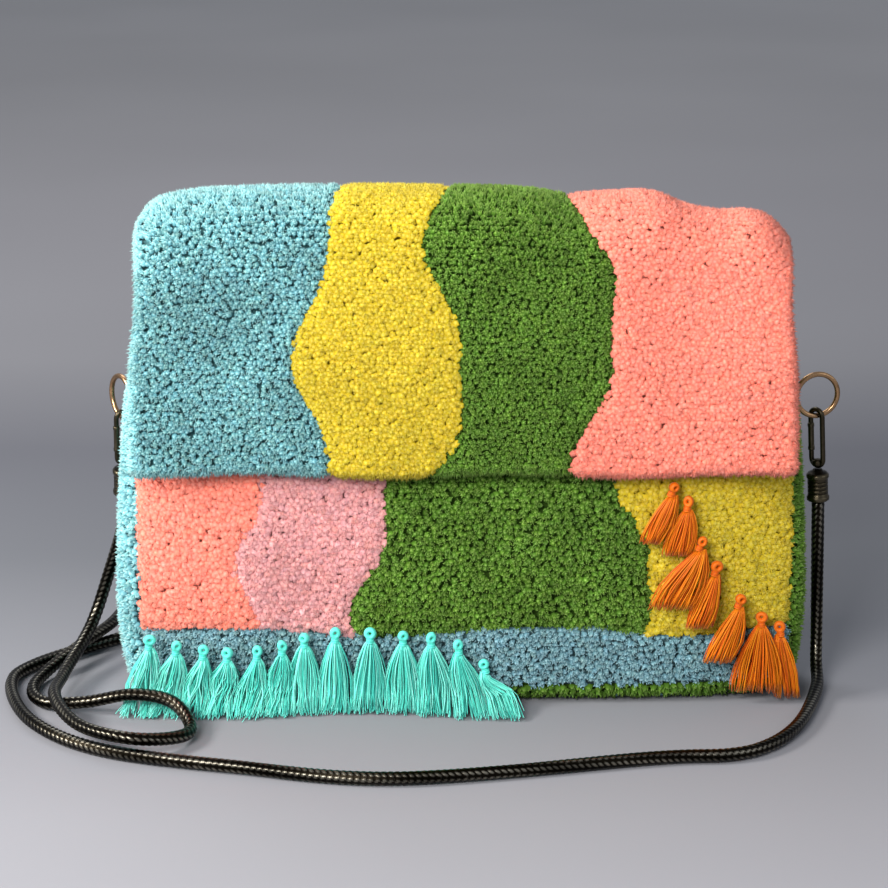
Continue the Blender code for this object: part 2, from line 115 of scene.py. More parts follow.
POUCH_ROWS = (
    # height, half_width, half_depth
    (0.0000, 0.1585, 0.0335), (0.0200, 0.1622, 0.0346), (0.0450, 0.1635, 0.0350), (0.0800, 0.1620, 0.0345),
    (0.1150, 0.1592, 0.0325), (0.1450, 0.1568, 0.0300), (0.1800, 0.1530, 0.0262), (0.2155, 0.1480, 0.0205),
)
RIDGE_ROWS = (
    # x, height
    (-0.152, 0.2060), (-0.147, 0.2200), (-0.139, 0.2335), (-0.126, 0.2385), (-0.105, 0.2405),
    (-0.060, 0.2415), (-0.005, 0.2413), (0.028, 0.2402), (0.048, 0.2375), (0.068, 0.2386), (0.086, 0.2384),
    (0.100, 0.2330), (0.116, 0.2300), (0.134, 0.2292), (0.145, 0.2195), (0.153, 0.2040),
)
FLAP_ROWS = (
    # y, fall below the ridge
    (0.0166, 0.0211), (0.0158, 0.0140), (0.0122, 0.0062), (0.0050, 0.0014), (-0.0040, 0.0000),
    (-0.0128, 0.0018), (-0.0200, 0.0075), (-0.0246, 0.0155), (-0.0280, 0.0270), (-0.0312, 0.0430),
    (-0.0338, 0.0610), (-0.0359, 0.0790), (-0.0375, 0.0970), (-0.0385, 0.1130), (-0.0388, 0.1240),
)
FLAP_WIDTHS = (
    # fall, left edge, right edge
    (0.0000, -0.1490, 0.1500), (0.0400, -0.1480, 0.1490), (0.0800, -0.1500, 0.1510),
    (0.1300, -0.1515, 0.1530),
)
FITTINGS = {
    "right": {
        "ring_centre": (0.1650, 0.0, 0.1415),
        "ring_turn": 12,
        "hook_turn": -48,
        "hang": (0.0030, 0.0, -0.0450),
    },
    "left": {
        "ring_centre": (-0.1590, 0.0105, 0.1375),
        "ring_turn": -55,
        "hook_turn": 38,
        "hang": (-0.0020, 0.0085, -0.0420),
    },
}
TURQUOISE_ROWS = (
    # head_x, head_z, foot_x, foot_y
    (-0.1440, 0.0345, -0.1505, -0.0500), (-0.1317, 0.0315, -0.1375, -0.0505),
    (-0.1193, 0.0295, -0.1245, -0.0510), (-0.1083, 0.0280, -0.1120, -0.0515),
    (-0.0944, 0.0290, -0.0985, -0.0520), (-0.0828, 0.0315, -0.0858, -0.0500),
    (-0.0725, 0.0355, -0.0733, -0.0475), (-0.0582, 0.0380, -0.0585, -0.0460),
    (-0.0421, 0.0378, -0.0427, -0.0455), (-0.0269, 0.0365, -0.0272, -0.0465),
    (-0.0140, 0.0355, -0.0122, -0.0490), (-0.0015, 0.0320, 0.0040, -0.0520),
    (0.0105, 0.0225, 0.0215, -0.0530),
)
ORANGE_ROWS = (
    # head_x, head_z, foot_x, foot_z, half_spread
    (0.0962, 0.1085, 0.0870, 0.0815, 0.0038), (0.1030, 0.1015, 0.0988, 0.0755, 0.0052),
    (0.1098, 0.0825, 0.0962, 0.0494, 0.0080), (0.1170, 0.0700, 0.1092, 0.0395, 0.0052),
    (0.1287, 0.0535, 0.1190, 0.0221, 0.0062), (0.1392, 0.0434, 0.1378, 0.0060, 0.0090),
    (0.1482, 0.0375, 0.1536, 0.0022, 0.0046),
)
STRAP_ROUTE = (
    # x, y, z
    (0.1680, 0.0000, 0.0893), (0.1704, 0.0012, 0.0280), (0.1701, -0.0052, 0.0100),
    (0.1685, -0.0200, 0.0042), (0.1600, -0.0470, 0.0034), (0.1500, -0.0690, 0.0034),
    (0.1364, -0.0855, 0.0034), (0.1184, -0.0950, 0.0034), (0.0826, -0.0988, 0.0034),
    (-0.0270, -0.1190, 0.0034), (-0.1000, -0.1070, 0.0034), (-0.1600, -0.0900, 0.0034),
    (-0.1960, -0.0600, 0.0034), (-0.2132, -0.0180, 0.0034), (-0.2060, 0.0070, 0.0034),
    (-0.1740, 0.0375, 0.0034), (-0.1460, 0.0580, 0.0034), (-0.1345, 0.0720, 0.0034),
    (-0.1385, 0.0893, 0.0035), (-0.1520, 0.0952, 0.0038), (-0.1655, 0.0880, 0.0056),
    (-0.1700, 0.0700, 0.0082), (-0.1740, 0.0430, 0.0103), (-0.1860, 0.0160, 0.0094),
    (-0.1990, -0.0060, 0.0046), (-0.2020, -0.0240, 0.0035), (-0.1935, -0.0385, 0.0035),
    (-0.1740, -0.0430, 0.0058), (-0.1510, -0.0480, 0.0118), (-0.1325, -0.0537, 0.0104),
    (-0.1229, -0.0683, 0.0044), (-0.1285, -0.0828, 0.0060), (-0.1480, -0.0930, 0.0105),
    (-0.1720, -0.0780, 0.0102), (-0.1870, -0.0500, 0.0116), (-0.1880, -0.0180, 0.0092),
    (-0.1800, 0.0190, 0.0190), (-0.1715, 0.0285, 0.0430), (-0.1630, 0.0240, 0.0700),
    (-0.1611, 0.0194, 0.0862),
)

# Wools, with their colours as seen on a screen, from 0 to 255.
WOOL_COLUMNS = ("tip", "side", "root", "vary", "low", "spread", "close", "groove")
WOOL_ROWS = {
    # tips, sides, roots (the roots' darkness is painted shade, the tips' paleness painted light), how much tufts
    # vary, stem below the yarn's ends, their spread, stems close, groove
    "coral": ((255, 172, 154), (250, 144, 124), (238, 118, 98), 0.07, 0.0006, 1.00, True, 0.0008),
    "green": ((160, 188, 104), (90, 132, 42), (26, 54, 12), 0.36, 0.0007, 0.80, False, 0.0025),
    "yellow": ((224, 208, 106), (208, 184, 42), (184, 152, 22), 0.10, 0.0007, 0.96, True, 0.0010),
    "blue": ((200, 236, 232), (122, 184, 190), (40, 96, 112), 0.30, 0.0006, 0.84, False, 0.0024),
    "mauve": ((238, 186, 182), (226, 162, 162), (198, 126, 130), 0.12, 0.0008, 0.94, True, 0.0012),
    "slate": ((190, 220, 224), (120, 164, 174), (46, 78, 88), 0.28, 0.0006, 0.84, False, 0.0022),
}
WOOLS = {name: dict(zip(WOOL_COLUMNS, row)) for name, row in WOOL_ROWS.items()}

# Bands from left to right, each but the last with the wavy edge at its right.
FLAP_BANDS = (
    # colour, tufts' pitch, edge_x, swing, wavelength, phase
    ("blue", 0.0024, -0.0640, 0.0095, 0.150, 0.4),
    ("yellow", 0.0021, -0.0080, 0.0085, 0.125, 2.1),
    ("green", 0.0021, 0.0610, 0.0100, 0.140, 3.9),
    ("coral", 0.0021),
)
FRONT_BANDS = (
    ("coral", 0.0024, -0.0960, 0.0070, 0.110, 0.9),
    ("mauve", 0.0024, -0.0420, 0.0085, 0.120, 2.6),
    ("green", 0.0029, 0.0820, 0.0080, 0.105, 4.4),
    ("yellow", 0.0026),
)
BACK_BANDS = (
    ("blue", 0.0033, -0.0700, 0.0120, 0.160, 1.2),
    ("mauve", 0.0033, 0.0450, 0.0130, 0.150, 3.0),
    ("green", 0.0033),
)
FOOT_BAND_HEIGHT = 0.0360
FOOT_BAND_SWING = 0.0022
FOOT_BAND_WAVES = 46
FOOT_BAND_PITCH = 0.0027
BOTTOM_PITCH = 0.0042
HIDDEN_FRONT_Z = 0.1330
OPEN_SIDE_X = 0.1320
SIDE_STRIP_SHIFT = 0.03

# Each tuft's rings of points from its foot up.
TUFT_FINE = (
    # depth as a share of the length, further depth as a share of the radius, radius share, height value (which
    # picks the wool's painted shade, darker towards the foot)
    (0.50, 0.00, 0.96, 0.00),
)
TUFT_CLOSE = (
    (0.26, 0.00, 1.22, 0.30),
)
TUFT_COARSE = (
    (0.70, 0.00, 0.80, 0.10),
    (0.00, 0.28, 0.86, 0.93),
)

# Parts of a panel: suffix of the names, scale of the pitch, lowest and highest place, and a tuft's sides,
# rings and fibres.
VISIBLE_FRONT = ("", 1.0, -1.0, HIDDEN_FRONT_Z, 5, TUFT_FINE, 7)
HIDDEN_FRONT = ("_under_flap", 1.35, HIDDEN_FRONT_Z, 1.0, 4, TUFT_COARSE, 0)
WHOLE_BACK = ("", 1.0, -1.0, 1.0, 5, TUFT_FINE, 3)

# Braid.
BRAID_COLUMNS = 6
BRAID_COLUMN_POINTS = 4
BRAID_PITCH = 0.0029
BRAID_STEP = 0.00072
BRAID_RELIEF = 0.00060
BRAID_SLANT = 0.50
BRAID_ROLL = 9.0

# Turned shapes on the hooks.
GATE_PROFILE = (
    # radius, height
    (0.00122, 0.0068), (0.0016, 0.0064), (0.0016, 0.0050), (0.00142, 0.0047),
    (0.00142, -0.0047), (0.0016, -0.0050), (0.0016, -0.0064), (0.00122, -0.0068),
)
COLLAR_PROFILE = (
    (0.0008, 0.0022), (0.0022, 0.0018), (0.0027, 0.0008),
    (0.0027, -0.0006), (0.0021, -0.0012), (0.0012, -0.0013),
)
HOOK_SIDES = 14

# Tassels.
THREADS = 128
THREAD_RADIUS = 0.00023
THREAD_SIDES = 3
THREAD_POINTS = 6
LOCKS = 6
LOCK_SWING = 0.0010
LOOP_RADIUS = 0.00160
LOOP_WIRE = 0.00105
NECK_RADIUS = 0.00150
NECK_WIRE = 0.00036
NECK_TOP = -0.0023
NECK_STEP = 0.00062
NECK_TURNS = 4
BACKWARDS = (0, 1, 0)
SKIRT_TOP = (0.0016, 0.0013, BACKWARDS)
LOOSE_SHARE = 0.06
TANGLED = 6
TANGLE = 2.2
GOLDEN_ANGLE = 2.399963

# Floor and lights.
FLOOR_SIZE = 14.0
FLOOR_NEAR = -0.4
FLOOR_FAR = 3.6
# Painted light and shade on the floor: brighter near the front, a darker band just behind the bag, paler far
# back.
FLOOR_PAINTED_SHADE = (
    # place from near to far, colour
    (0.0, (150, 150, 155)),
    (0.061, (143, 143, 148)),
    (0.142, (104, 106, 111)),
    (0.19, (98, 99, 105)),
    (0.243, (122, 122, 126)),
    (0.363, (138, 137, 141)),
    (0.65, (170, 169, 171)),
    (1.0, (178, 178, 180)),
)
LIGHTS = (
    # name, place, aim, size, watts, colour
    ("key", (-1.22, -0.34, 0.86), (0, -0.03, 0.10), (0.36, 0.36), 23.0, (1.0, 0.97, 0.93)),
    ("front", (-0.60, -1.24, 1.00), (0, -0.03, 0.12), (0.7, 0.6), 27.5, (1.0, 0.98, 0.96)),
    ("fill", (1.2, -0.7, 0.8), (0, 0, 0.1), (0.9, 0.9), 2.5, (0.90, 0.94, 1.0)),
    ("rim", (-0.4, 0.9, 1.2), (0, 0, 0.15), (1.0, 0.5), 7.0, (0.95, 0.97, 1.0)),
)


def linear(colour):
    """A screen colour from 0 to 255 as linear light."""
    shares = [c / 255 for c in colour]
    return [s / 12.92 if s <= 0.04045 else ((s + 0.055) / 1.055) ** 2.4 for s in shares]


def unit(vectors):
    return vectors / np.maximum(np.linalg.norm(vectors, axis=-1, keepdims=True), 1e-12)


def turns(count):
    """Angles spread evenly over a full turn."""
    return np.linspace(0, 2 * math.pi, count, endpoint=False)


def smoothed(value, rows, column):
    """The named column of a table, read on a smooth curve through its rows."""
    table = np.array(rows)
    places = table[:, 0]
    value = np.clip(value, places[0], places[-1])
    index = np.clip(np.searchsorted(places, value, side="right") - 1, 0, len(rows) - 2)
    before, after = np.maximum(index - 1, 0), np.minimum(index + 2, len(rows) - 1)
    low, high = table[index, column], table[index + 1, column]
    span = places[index + 1] - places[index]
    share = (value - places[index]) / span
    slope_low = (high - table[before, column]) / (places[index + 1] - places[before]) * span
    slope_high = (table[after, column] - low) / (places[after] - places[index]) * span
    square, cube = share**2, share**3
    return (
        (2 * cube - 3 * square + 1) * low
        + (cube - 2 * square + share) * slope_low
        + (3 * square - 2 * cube) * high
        + (cube - square) * slope_high
    )


def eased(share):
    share = np.clip(share, 0.0, 1.0)
    return share * share * (3 - 2 * share)


def catmull(points, steps):
    """A smooth curve through the points, with the given steps between each two."""
    points = np.array(points, float)
    ends = np.concatenate([[2 * points[0] - points[1]], points, [2 * points[-1] - points[-2]]])
    share = np.linspace(0, 1, steps, endpoint=False)[:, None]
    dense = []
    for p0, p1, p2, p3 in zip(ends[:-3], ends[1:-2], ends[2:-1], ends[3:]):
        dense.append(
            0.5 * (2 * p1 + (p2 - p0) * share + (2 * p0 - 5 * p1 + 4 * p2 - p3) * share**2
                   + (3 * p1 - p0 - 3 * p2 + p3) * share**3)
        )
    return np.concatenate(dense + [points[-1:]])


def step_lengths(points):
    return np.linalg.norm(np.diff(points, axis=0), axis=1)


def walked_along(points):
    """How far along a line each of its points is."""
    return np.concatenate([[0], np.cumsum(step_lengths(points))])


def read_at(places, marks, table):
    """A table's columns at the places, read between the rows that stand at its marks."""
    return np.stack([np.interp(places, marks, column) for column in table.T], axis=1)


def resampled(points, count):
    """The same line with evenly spaced points."""
    walked = walked_along(points)
    return read_at(np.linspace(0, walked[-1], count), walked, points)


def make_mesh(name, points, faces, attribute=None, smooth=True):
    """A mesh from arrays of points and of faces, each array of faces having one number of corners."""
    mesh = bpy.data.meshes.new(name)
    mesh.vertices.add(len(points))
    mesh.vertices.foreach_set("co", np.asarray(points, np.float32).ravel())
    corners = np.concatenate([f.ravel() for f in faces]).astype(np.int32)
    totals = np.concatenate([np.full(len(f), f.shape[1]) for f in faces]).astype(np.int32)
    starts = np.concatenate([[0], np.cumsum(totals)[:-1]]).astype(np.int32)
    mesh.loops.add(len(corners))
    mesh.loops.foreach_set("vertex_index", corners)
    mesh.polygons.add(len(totals))
    mesh.polygons.foreach_set("loop_start", starts)
    mesh.polygons.foreach_set("loop_total", totals)
    mesh.update(calc_edges=True)
    if smooth:
        mesh.shade_smooth()
    if attribute is not None:
        layer = mesh.attributes.new("pile", "FLOAT_COLOR", "POINT")
        layer.data.foreach_set("color", np.asarray(attribute, np.float32).ravel())
    return mesh


def place(name, mesh, finishes, nodes=()):
    """Puts a piece into the scene, riding on the bag."""
    piece = bpy.data.objects.new(name, mesh)
    bpy.context.scene.collection.objects.link(piece)
    for finish in finishes:
        mesh.materials.append(finish)
    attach(piece, "root")
    if nodes:
        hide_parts(*nodes)
    return piece


def place_parts(name, parts, finish, nodes=()):
    """Puts several (points, faces, attribute) into the scene as one piece."""
    points, faces, attributes, first = [], {}, [], 0
    for part_points, part_faces, part_attribute in parts:
        points.append(part_points)
        attributes.append(part_attribute)
        for face in part_faces:
            faces.setdefault(face.shape[1], []).append(face + first)
        first += len(part_points)
    faces = [np.concatenate(f) for f in faces.values()]
    mesh = make_mesh(name, np.concatenate(points), faces, np.concatenate(attributes))
    return place(name, mesh, [finish], nodes)


def grid_faces(rows, columns, closed=False, looped=False):
    """Quads between rows of points: each row a ring where closed, the last row met by the first where looped."""
    row = np.arange(rows if looped else rows - 1)[:, None]
    column = np.arange(columns if closed else columns - 1)[None]
    here, beyond, after = row * columns, (row + 1) % rows * columns, (column + 1) % columns
    corners = (here + column, here + after, beyond + after, beyond + column)
    return np.stack([np.broadcast_to(c, (row.size, column.size)).ravel() for c in corners], axis=1)


def tube_faces(rows, columns):
    """The faces of a tube with its two ends closed."""
    end = np.arange(columns)[None]
    return [grid_faces(rows, columns, closed=True), end[:, ::-1], end + (rows - 1) * columns]


def travelling_ways(line, side):
    """Two ways across a line at each of its points, carried along it without twist."""
    along = unit(np.gradient(line, axis=0))
    side = np.array(side)
    ways = []
    for way in along:
        side = unit(side - way * (side @ way))
        ways.append(side)
    first = np.array(ways)
    return first, np.cross(along, first)


def rings_round(centres, reach, angles, first, second):
    """A ring of points about each centre, at the reach and angles from its two ways."""
    return centres[:, None] + reach[..., None] * (
        np.cos(angles)[..., None] * first[:, None] + np.sin(angles)[..., None] * second[:, None]
    )


def tube(path, radius, sides, tone):
    """A round tube along a path, as (points, faces, attribute)."""
    first, second = travelling_ways(path, (0.31, 0.95, 0.07))
    points = rings_round(path, radius[:, None], turns(sides)[None], first, second).reshape(-1, 3)
    return points, tube_faces(len(path), sides), np.tile(tone, (len(points), 1))


def moved(rings, matrix, centre):
    """Rings of points as one list, turned by a matrix and put at a centre."""
    return rings.reshape(-1, 3) @ np.array(matrix.to_3x3()).T + np.array(centre)


def lathe(profile, steps, matrix, tone):
    """A turned shape: the profile's radius and height about the matrix's Z axis."""
    radius, height = np.array(profile).T[:, :, None]
    angles = turns(steps)
    height = np.repeat(height, steps, axis=1)
    rings = np.stack([radius * np.cos(angles), radius * np.sin(angles), height], axis=2)
    faces = [face[:, ::-1] for face in tube_faces(len(profile), steps)]
    return moved(rings, matrix, matrix.translation), faces, np.tile(tone, (len(profile) * steps, 1))


def torus(centre, radius, wire, matrix, tone, steps, sides, ridges=0, relief=0.0):
    """A ring in the matrix's XY plane, its wire ridged along its length where asked."""
    angles, around = turns(steps)[:, None], turns(sides)[None]
    wire = wire * (1 + relief * np.cos(ridges * around))
    reach = radius + wire * np.cos(around)
    height = np.broadcast_to(wire * np.sin(around), (steps, sides))
    rings = np.stack([reach * np.cos(angles), reach * np.sin(angles), height], axis=2)
    faces = grid_faces(steps, sides, closed=True, looped=True)[:, [0, 3, 2, 1]]
    return moved(rings, matrix, centre), [faces], np.tile(tone, (steps * sides, 1))


# Materials.


class Shader:
    """A material's node tree, with short ways to add to it."""

    def __init__(self, name):
        self.material = bpy.data.materials.new(name)
        self.material.use_nodes = True
        self.tree = self.material.node_tree
        self.base = self.tree.nodes["Principled BSDF"]

    def node(self, kind, inputs=(), **settings):
        """A new node, with its settings and with values or links for its inputs."""
        made = self.tree.nodes.new(kind)
        for key, value in settings.items():
            setattr(made, key, value)
        for key, value in dict(inputs).items():
            if isinstance(value, bpy.types.NodeSocket):
                self.tree.links.new(value, made.inputs[key])
            else:
                made.inputs[key].default_value = value
        return made

    def ramp(self, source, stops):
        """A ramp of colours, or of greys where a stop has one number."""
        made = self.node("ShaderNodeValToRGB", {"Fac": source})
        elements = made.color_ramp.elements
        while len(elements) < len(stops):
            elements.new(0.5)
        for element, (position, colour) in zip(elements, stops):
            element.position = position
            element.color = (*(colour if isinstance(colour, (list, tuple)) else (colour,) * 3), 1)
        return made.outputs["Color"]

    def tint(self, colour, source, low, high, start=0.0, end=1.0):
        """The colour times a factor that runs from low to high as the source runs from start to end."""
        inputs = {"Factor": 1.0, "A": colour, "B": self.ramp(source, ((start, low), (end, high)))}
        return self.node("ShaderNodeMix", inputs, data_type="RGBA", blend_type="MULTIPLY").outputs["Result"]

    def math(self, operation, *values):
        return self.node("ShaderNodeMath", enumerate(values), operation=operation).outputs["Value"]

    def coordinates(self):
        return self.node("ShaderNodeTexCoord").outputs["Object"]

    def place_along(self, axis):
        return self.node("ShaderNodeSeparateXYZ", {"Vector": self.coordinates()}).outputs[axis]

    def noise(self, scale, detail=2.0, roughness=0.5):
        inputs = {"Scale": scale, "Detail": detail, "Roughness": roughness, "Vector": self.coordinates()}
        return self.node("ShaderNodeTexNoise", inputs).outputs["Fac"]

    def mapped(self, source, **limits):
        """The source between new limits, such as To_Min."""
        inputs = {key.replace("_", " "): value for key, value in limits.items()}
        return self.node("ShaderNodeMapRange", {"Value": source, **inputs}).outputs["Result"]

    def attribute(self):
        """The pile attribute's three values: height, tone and hue."""
        made = self.node("ShaderNodeAttribute", attribute_name="pile")
        split = self.node("ShaderNodeSeparateColor", {"Color": made.outputs["Color"]})
        return split.outputs["Red"], split.outputs["Green"], split.outputs["Blue"]

    def bump(self, height, strength, distance):
        made = self.node("ShaderNodeBump", {"Strength": strength, "Distance": distance, "Height": height})
        self.tree.links.new(made.outputs["Normal"], self.base.inputs["Normal"])

    def finished(self, colour, **values):
        """The material, with its colour and the base's other values."""
        self.tree.links.new(colour, self.base.inputs["Base Color"])
        for key, value in values.items():
            self.base.inputs[key.replace("_", " ")].default_value = value
        return self.material


def wool(name, look):
    """Cut woollen pile: painted shade between the tufts, painted light on their paler cut ends, each tuft a
    little different.
    """
    shader = Shader(f"{name}_wool")
    height, tone, hue = shader.attribute()
    root, side, tip = (linear(look[key]) for key in ("root", "side", "tip"))
    # Painted shade for the pile's depths, darker than the roots.
    deep = [r * 0.5 + s * 0.35 for r, s in zip(root, side)]
    shoulder = [(s + t) / 2 for s, t in zip(side, tip)]
    vary = look["vary"]
    sweep = vary * 0.4 + 0.03
    fibre = shader.noise(2600, 2.0, 0.7)
    # The height ramp paints shade towards the tufts' feet and light on their cut ends.
    colour = shader.ramp(height, ((0.0, deep), (0.60, side), (0.92, shoulder), (1.0, tip)))
    colour = shader.tint(colour, tone, 1 - vary, 1 + vary)
    colour = shader.tint(colour, hue, (1.06, 1.0, 0.92), (0.95, 1.0, 1.06))
    # Painted shade: soft lighter and darker swaths where the pile lies different ways.
    colour = shader.tint(colour, shader.noise(30, 3.0), 1 - sweep, 1 + sweep, 0.3, 0.7)
    colour = shader.tint(colour, fibre, 0.86, 1.14, 0.30, 0.68)
    shader.bump(fibre, 0.5, 0.0005)
    return shader.finished(colour, Roughness=0.92, Sheen_Weight=0.12, Sheen_Roughness=0.6,
                           Specular_IOR_Level=0.12, Sheen_Tint=(*tip, 1))


def woven(name, colour, pitch):
    """Plain woven cloth: two sets of threads over and under each other."""
    shader = Shader(name)
    turn = 2 * math.pi / pitch
    first, second = (
        shader.math("SINE", shader.math("MULTIPLY", shader.place_along(axis), turn)) for axis in ("X", "Z")
    )
    crossed = shader.math("MULTIPLY", first, second)
    high = linear(colour)
    low = [c * 0.62 for c in high]
    cloth = shader.ramp(shader.math("MULTIPLY_ADD", crossed, 0.5, 0.5), ((0.0, low), (0.75, high)))
    shader.bump(crossed, 0.5, 0.0002)
    return shader.finished(shader.tint(cloth, shader.noise(30, 3.0), 0.9, 1.05, 0.3, 0.7),
                           Roughness=0.9, Sheen_Weight=0.2, Specular_IOR_Level=0.2)


def cotton(name, tip, side, root):
    """Lustrous cotton threads: paler and darker threads side by side, with painted shade deep in the tassel."""
    shader = Shader(name)
    height, tone, _ = shader.attribute()
    twist = shader.noise(3200, 2.0, 0.6)
    colour = shader.ramp(tone, ((0.0, linear(root)), (0.35, linear(side)), (1.0, linear(tip))))
    # Painted shade: threads deep in the tassel, with low height values, are darker.
    colour = shader.tint(colour, height, 0.45, 1.0, 0.0, 0.6)
    colour = shader.tint(colour, twist, 0.86, 1.12, 0.3, 0.7)
    shader.bump(twist, 0.35, 0.0002)
    return shader.finished(colour, Roughness=0.5, Sheen_Weight=0.08, Sheen_Roughness=0.4,
                           Specular_IOR_Level=0.32)


def metal_with_painted_shade(name, bright, dark, roughness, highlight_at):
    """Plated metal: dark in its hollows as painted shade, bright on its high places as a painted highlight."""
    shader = Shader(name)
    height, tone, _ = shader.attribute()
    # Painted shade and highlight: the height darkens hollows and brightens crests, with random mottling from the
    # noise.
    level = shader.math("MULTIPLY_ADD", shader.noise(420, 4.0, 0.65), 0.45,
                        shader.math("MULTIPLY_ADD", height, 0.75, -0.22))
    colour = shader.tint(shader.ramp(level, ((0.15, linear(dark)), (highlight_at, linear(bright)))), tone, 0.45, 1.3)
    rough = shader.mapped(level, To_Min=roughness + 0.16, To_Max=roughness - 0.06)
    shader.tree.links.new(rough, shader.base.inputs["Roughness"])
    shader.bump(shader.noise(1500, 3.0), 0.12, 0.0001)
    return shader.finished(colour, Metallic=1.0)


# Camera, floor and lights.


def make_camera():
    made = bpy.data.objects.new("camera", bpy.data.cameras.new("camera"))
    bpy.context.scene.collection.objects.link(made)
    tilt = math.radians(CAMERA_ELEVATION)
    made.location = CAMERA_TARGET + CAMERA_DISTANCE * Vector((0, -math.cos(tilt), math.sin(tilt)))
    made.rotation_euler = (math.pi / 2 - tilt, 0, 0)
    made.data.sensor_width = SENSOR_WIDTH
    made.data.lens = SENSOR_WIDTH / 2 * CAMERA_DISTANCE / HALF_VIEW
    bpy.context.scene.camera = made


def make_floor():
    """A pale floor that runs far back, its colour painted with light and shade along its depth."""
    shader = Shader("floor")
    back = shader.mapped(shader.place_along("Y"), From_Min=FLOOR_NEAR, From_Max=FLOOR_FAR)
    painted_floor_shade = shader.ramp(back, [(spot, linear(colour)) for spot, colour in FLOOR_PAINTED_SHADE])
    finish = shader.finished(shader.tint(painted_floor_shade, shader.noise(1.6, 2.0), 0.95, 1.04, 0.3, 0.7),
                             Roughness=0.9, Specular_IOR_Level=0.12)
    corners = np.array([(-1, -0.3, 0), (1, -0.3, 0), (1, 1, 0), (-1, 1, 0)]) * FLOOR_SIZE
    mesh = make_mesh("floor", corners, [np.array([[0, 1, 2, 3]])], smooth=False)
    floor = bpy.data.objects.new("floor", mesh)
    floor.data.materials.append(finish)
    bpy.context.scene.collection.objects.link(floor)


def make_lights():
    """A soft light from the upper left, one from the front, a weak fill at the right and one from behind."""
    world = bpy.data.worlds.new("world")
    world.use_nodes = True
    background = world.node_tree.nodes["Background"]
    background.inputs["Color"].default_value = (0.80, 0.84, 0.92, 1)
    background.inputs["Strength"].default_value = 0.48
    bpy.context.scene.world = world
    for name, spot, aim, size, watts, colour in LIGHTS:
        light = bpy.data.lights.new(name, "AREA")
        light.shape = "RECTANGLE"
        light.size, light.size_y = size
        light.energy = watts
        light.color = colour
        made = bpy.data.objects.new(name, light)
        made.location = spot
        made.rotation_euler = (Vector(aim) - Vector(spot)).to_track_quat("-Z", "Y").to_euler()
        bpy.context.scene.collection.objects.link(made)


# Strap.


def braided_tube(path, radius):
    """A round braid: columns of slanting links that lean one way and the other in turn."""
    length = step_lengths(path).sum()
    rows, columns = int(length / BRAID_STEP), BRAID_COLUMNS * BRAID_COLUMN_POINTS
    line = resampled(catmull(path, 4), rows)
    first, second = travelling_ways(line, (0.2, 1.0, 0.1))
    walked = np.linspace(0, length, rows)[:, None]
    spot = np.arange(columns)[None]
    column = spot // BRAID_COLUMN_POINTS
    across = (spot % BRAID_COLUMN_POINTS + 0.5) / BRAID_COLUMN_POINTS * 2 - 1
    lean = np.where(column % 2 == 0, 1.0, -1.0)
    phase = walked / BRAID_PITCH + lean * across * BRAID_SLANT
    link = np.abs(np.sin(math.pi * phase)) ** 0.7
    crown = 1 - np.abs(across) ** 1.5
    relief = link * (0.15 + 0.85 * crown)
    angle = 2 * math.pi * spot / columns + walked * BRAID_ROLL
    points = rings_round(line, radius - BRAID_RELIEF * (1 - relief), angle, first, second)
    tone = np.broadcast_to(0.5 + 0.5 * np.sin(7.1 * column + 12.3 * np.floor(phase)), relief.shape)
    # The relief, squared, paints shade in the hollows between links and a highlight on their crests; the tone
    # differs at random from link to link.
    attribute = np.stack([relief**2, tone, np.zeros_like(relief), np.ones_like(relief)], axis=2)
    return points.reshape(-1, 3), tube_faces(rows, columns), attribute.reshape(-1, 4)


# Rings, hooks and ferrules.


def hang_way(fitting):
    return Vector(fitting["hang"]).normalized()


def hook_top(fitting):
    lowest = RING_RADIUS - RING_WIRE - HOOK_WIRE - 2 * GAP
    return Vector(fitting["ring_centre"]) - Vector((0, 0, lowest))


def hung(spot, way):
    """The matrix of a turned shape at a place, its foot towards the way."""
    return Matrix.Translation(spot) @ Vector((0, 0, -1)).rotation_difference(way).to_matrix().to_4x4()


def make_ring(side, fitting, finish):
    turn = Matrix.Rotation(math.radians(fitting["ring_turn"]), 4, "Z") @ Matrix.Rotation(math.pi / 2, 4, "X")
    ring = torus(fitting["ring_centre"], RING_RADIUS, RING_WIRE, turn, (0.75, 0.6, 0, 1), 72, 16)
    place_parts(f"ring_{side}_wire", [ring], finish, [f"ring_{side}"])


def make_hook(side, fitting, finish):
    """A long link with a spring gate on one bar and a swivel collar at its foot."""
    top, way = hook_top(fitting), hang_way(fitting)
    turn = math.radians(fitting["hook_turn"])
    across = Vector((math.cos(turn), math.sin(turn), 0))
    across = (across - way * across.dot(way)).normalized()
    loop = []
    for fall, start in ((HOOK_HALF_WIDTH, 0.0), (HOOK_LENGTH - HOOK_HALF_WIDTH, math.pi)):
        for step in range(17):
            angle = start + math.pi * step / 16
            round_way = across * math.cos(angle) - way * math.sin(angle)
            loop.append(tuple(top + way * fall + HOOK_HALF_WIDTH * round_way))
    line = resampled(np.array(loop + loop[:1]), 72)[:-1]
    along = unit(np.roll(line, -1, axis=0) - np.roll(line, 1, axis=0))
    first = np.tile(np.array(across.cross(way)), (len(line), 1))
    second = np.cross(along, first)
    points = rings_round(line, np.full((1, 1), HOOK_WIRE), turns(HOOK_SIDES)[None], first, second)
    faces = grid_faces(len(line), HOOK_SIDES, closed=True, looped=True)
    link = (points.reshape(-1, 3), [faces], np.tile((0.62, 0.5, 0, 1), (len(line) * HOOK_SIDES, 1)))
    gate_at = top + way * (HOOK_LENGTH * 0.50) - across * HOOK_HALF_WIDTH
    gate = lathe(GATE_PROFILE, 16, hung(gate_at, way), (0.8, 0.7, 0, 1))
    collar = lathe(COLLAR_PROFILE, 20, hung(top + way * (HOOK_LENGTH - 0.0012), way), (0.6, 0.55, 0, 1))
    return place_parts(f"hook_{side}_clasp", (link, gate, collar), finish, [f"hook_{side}"])


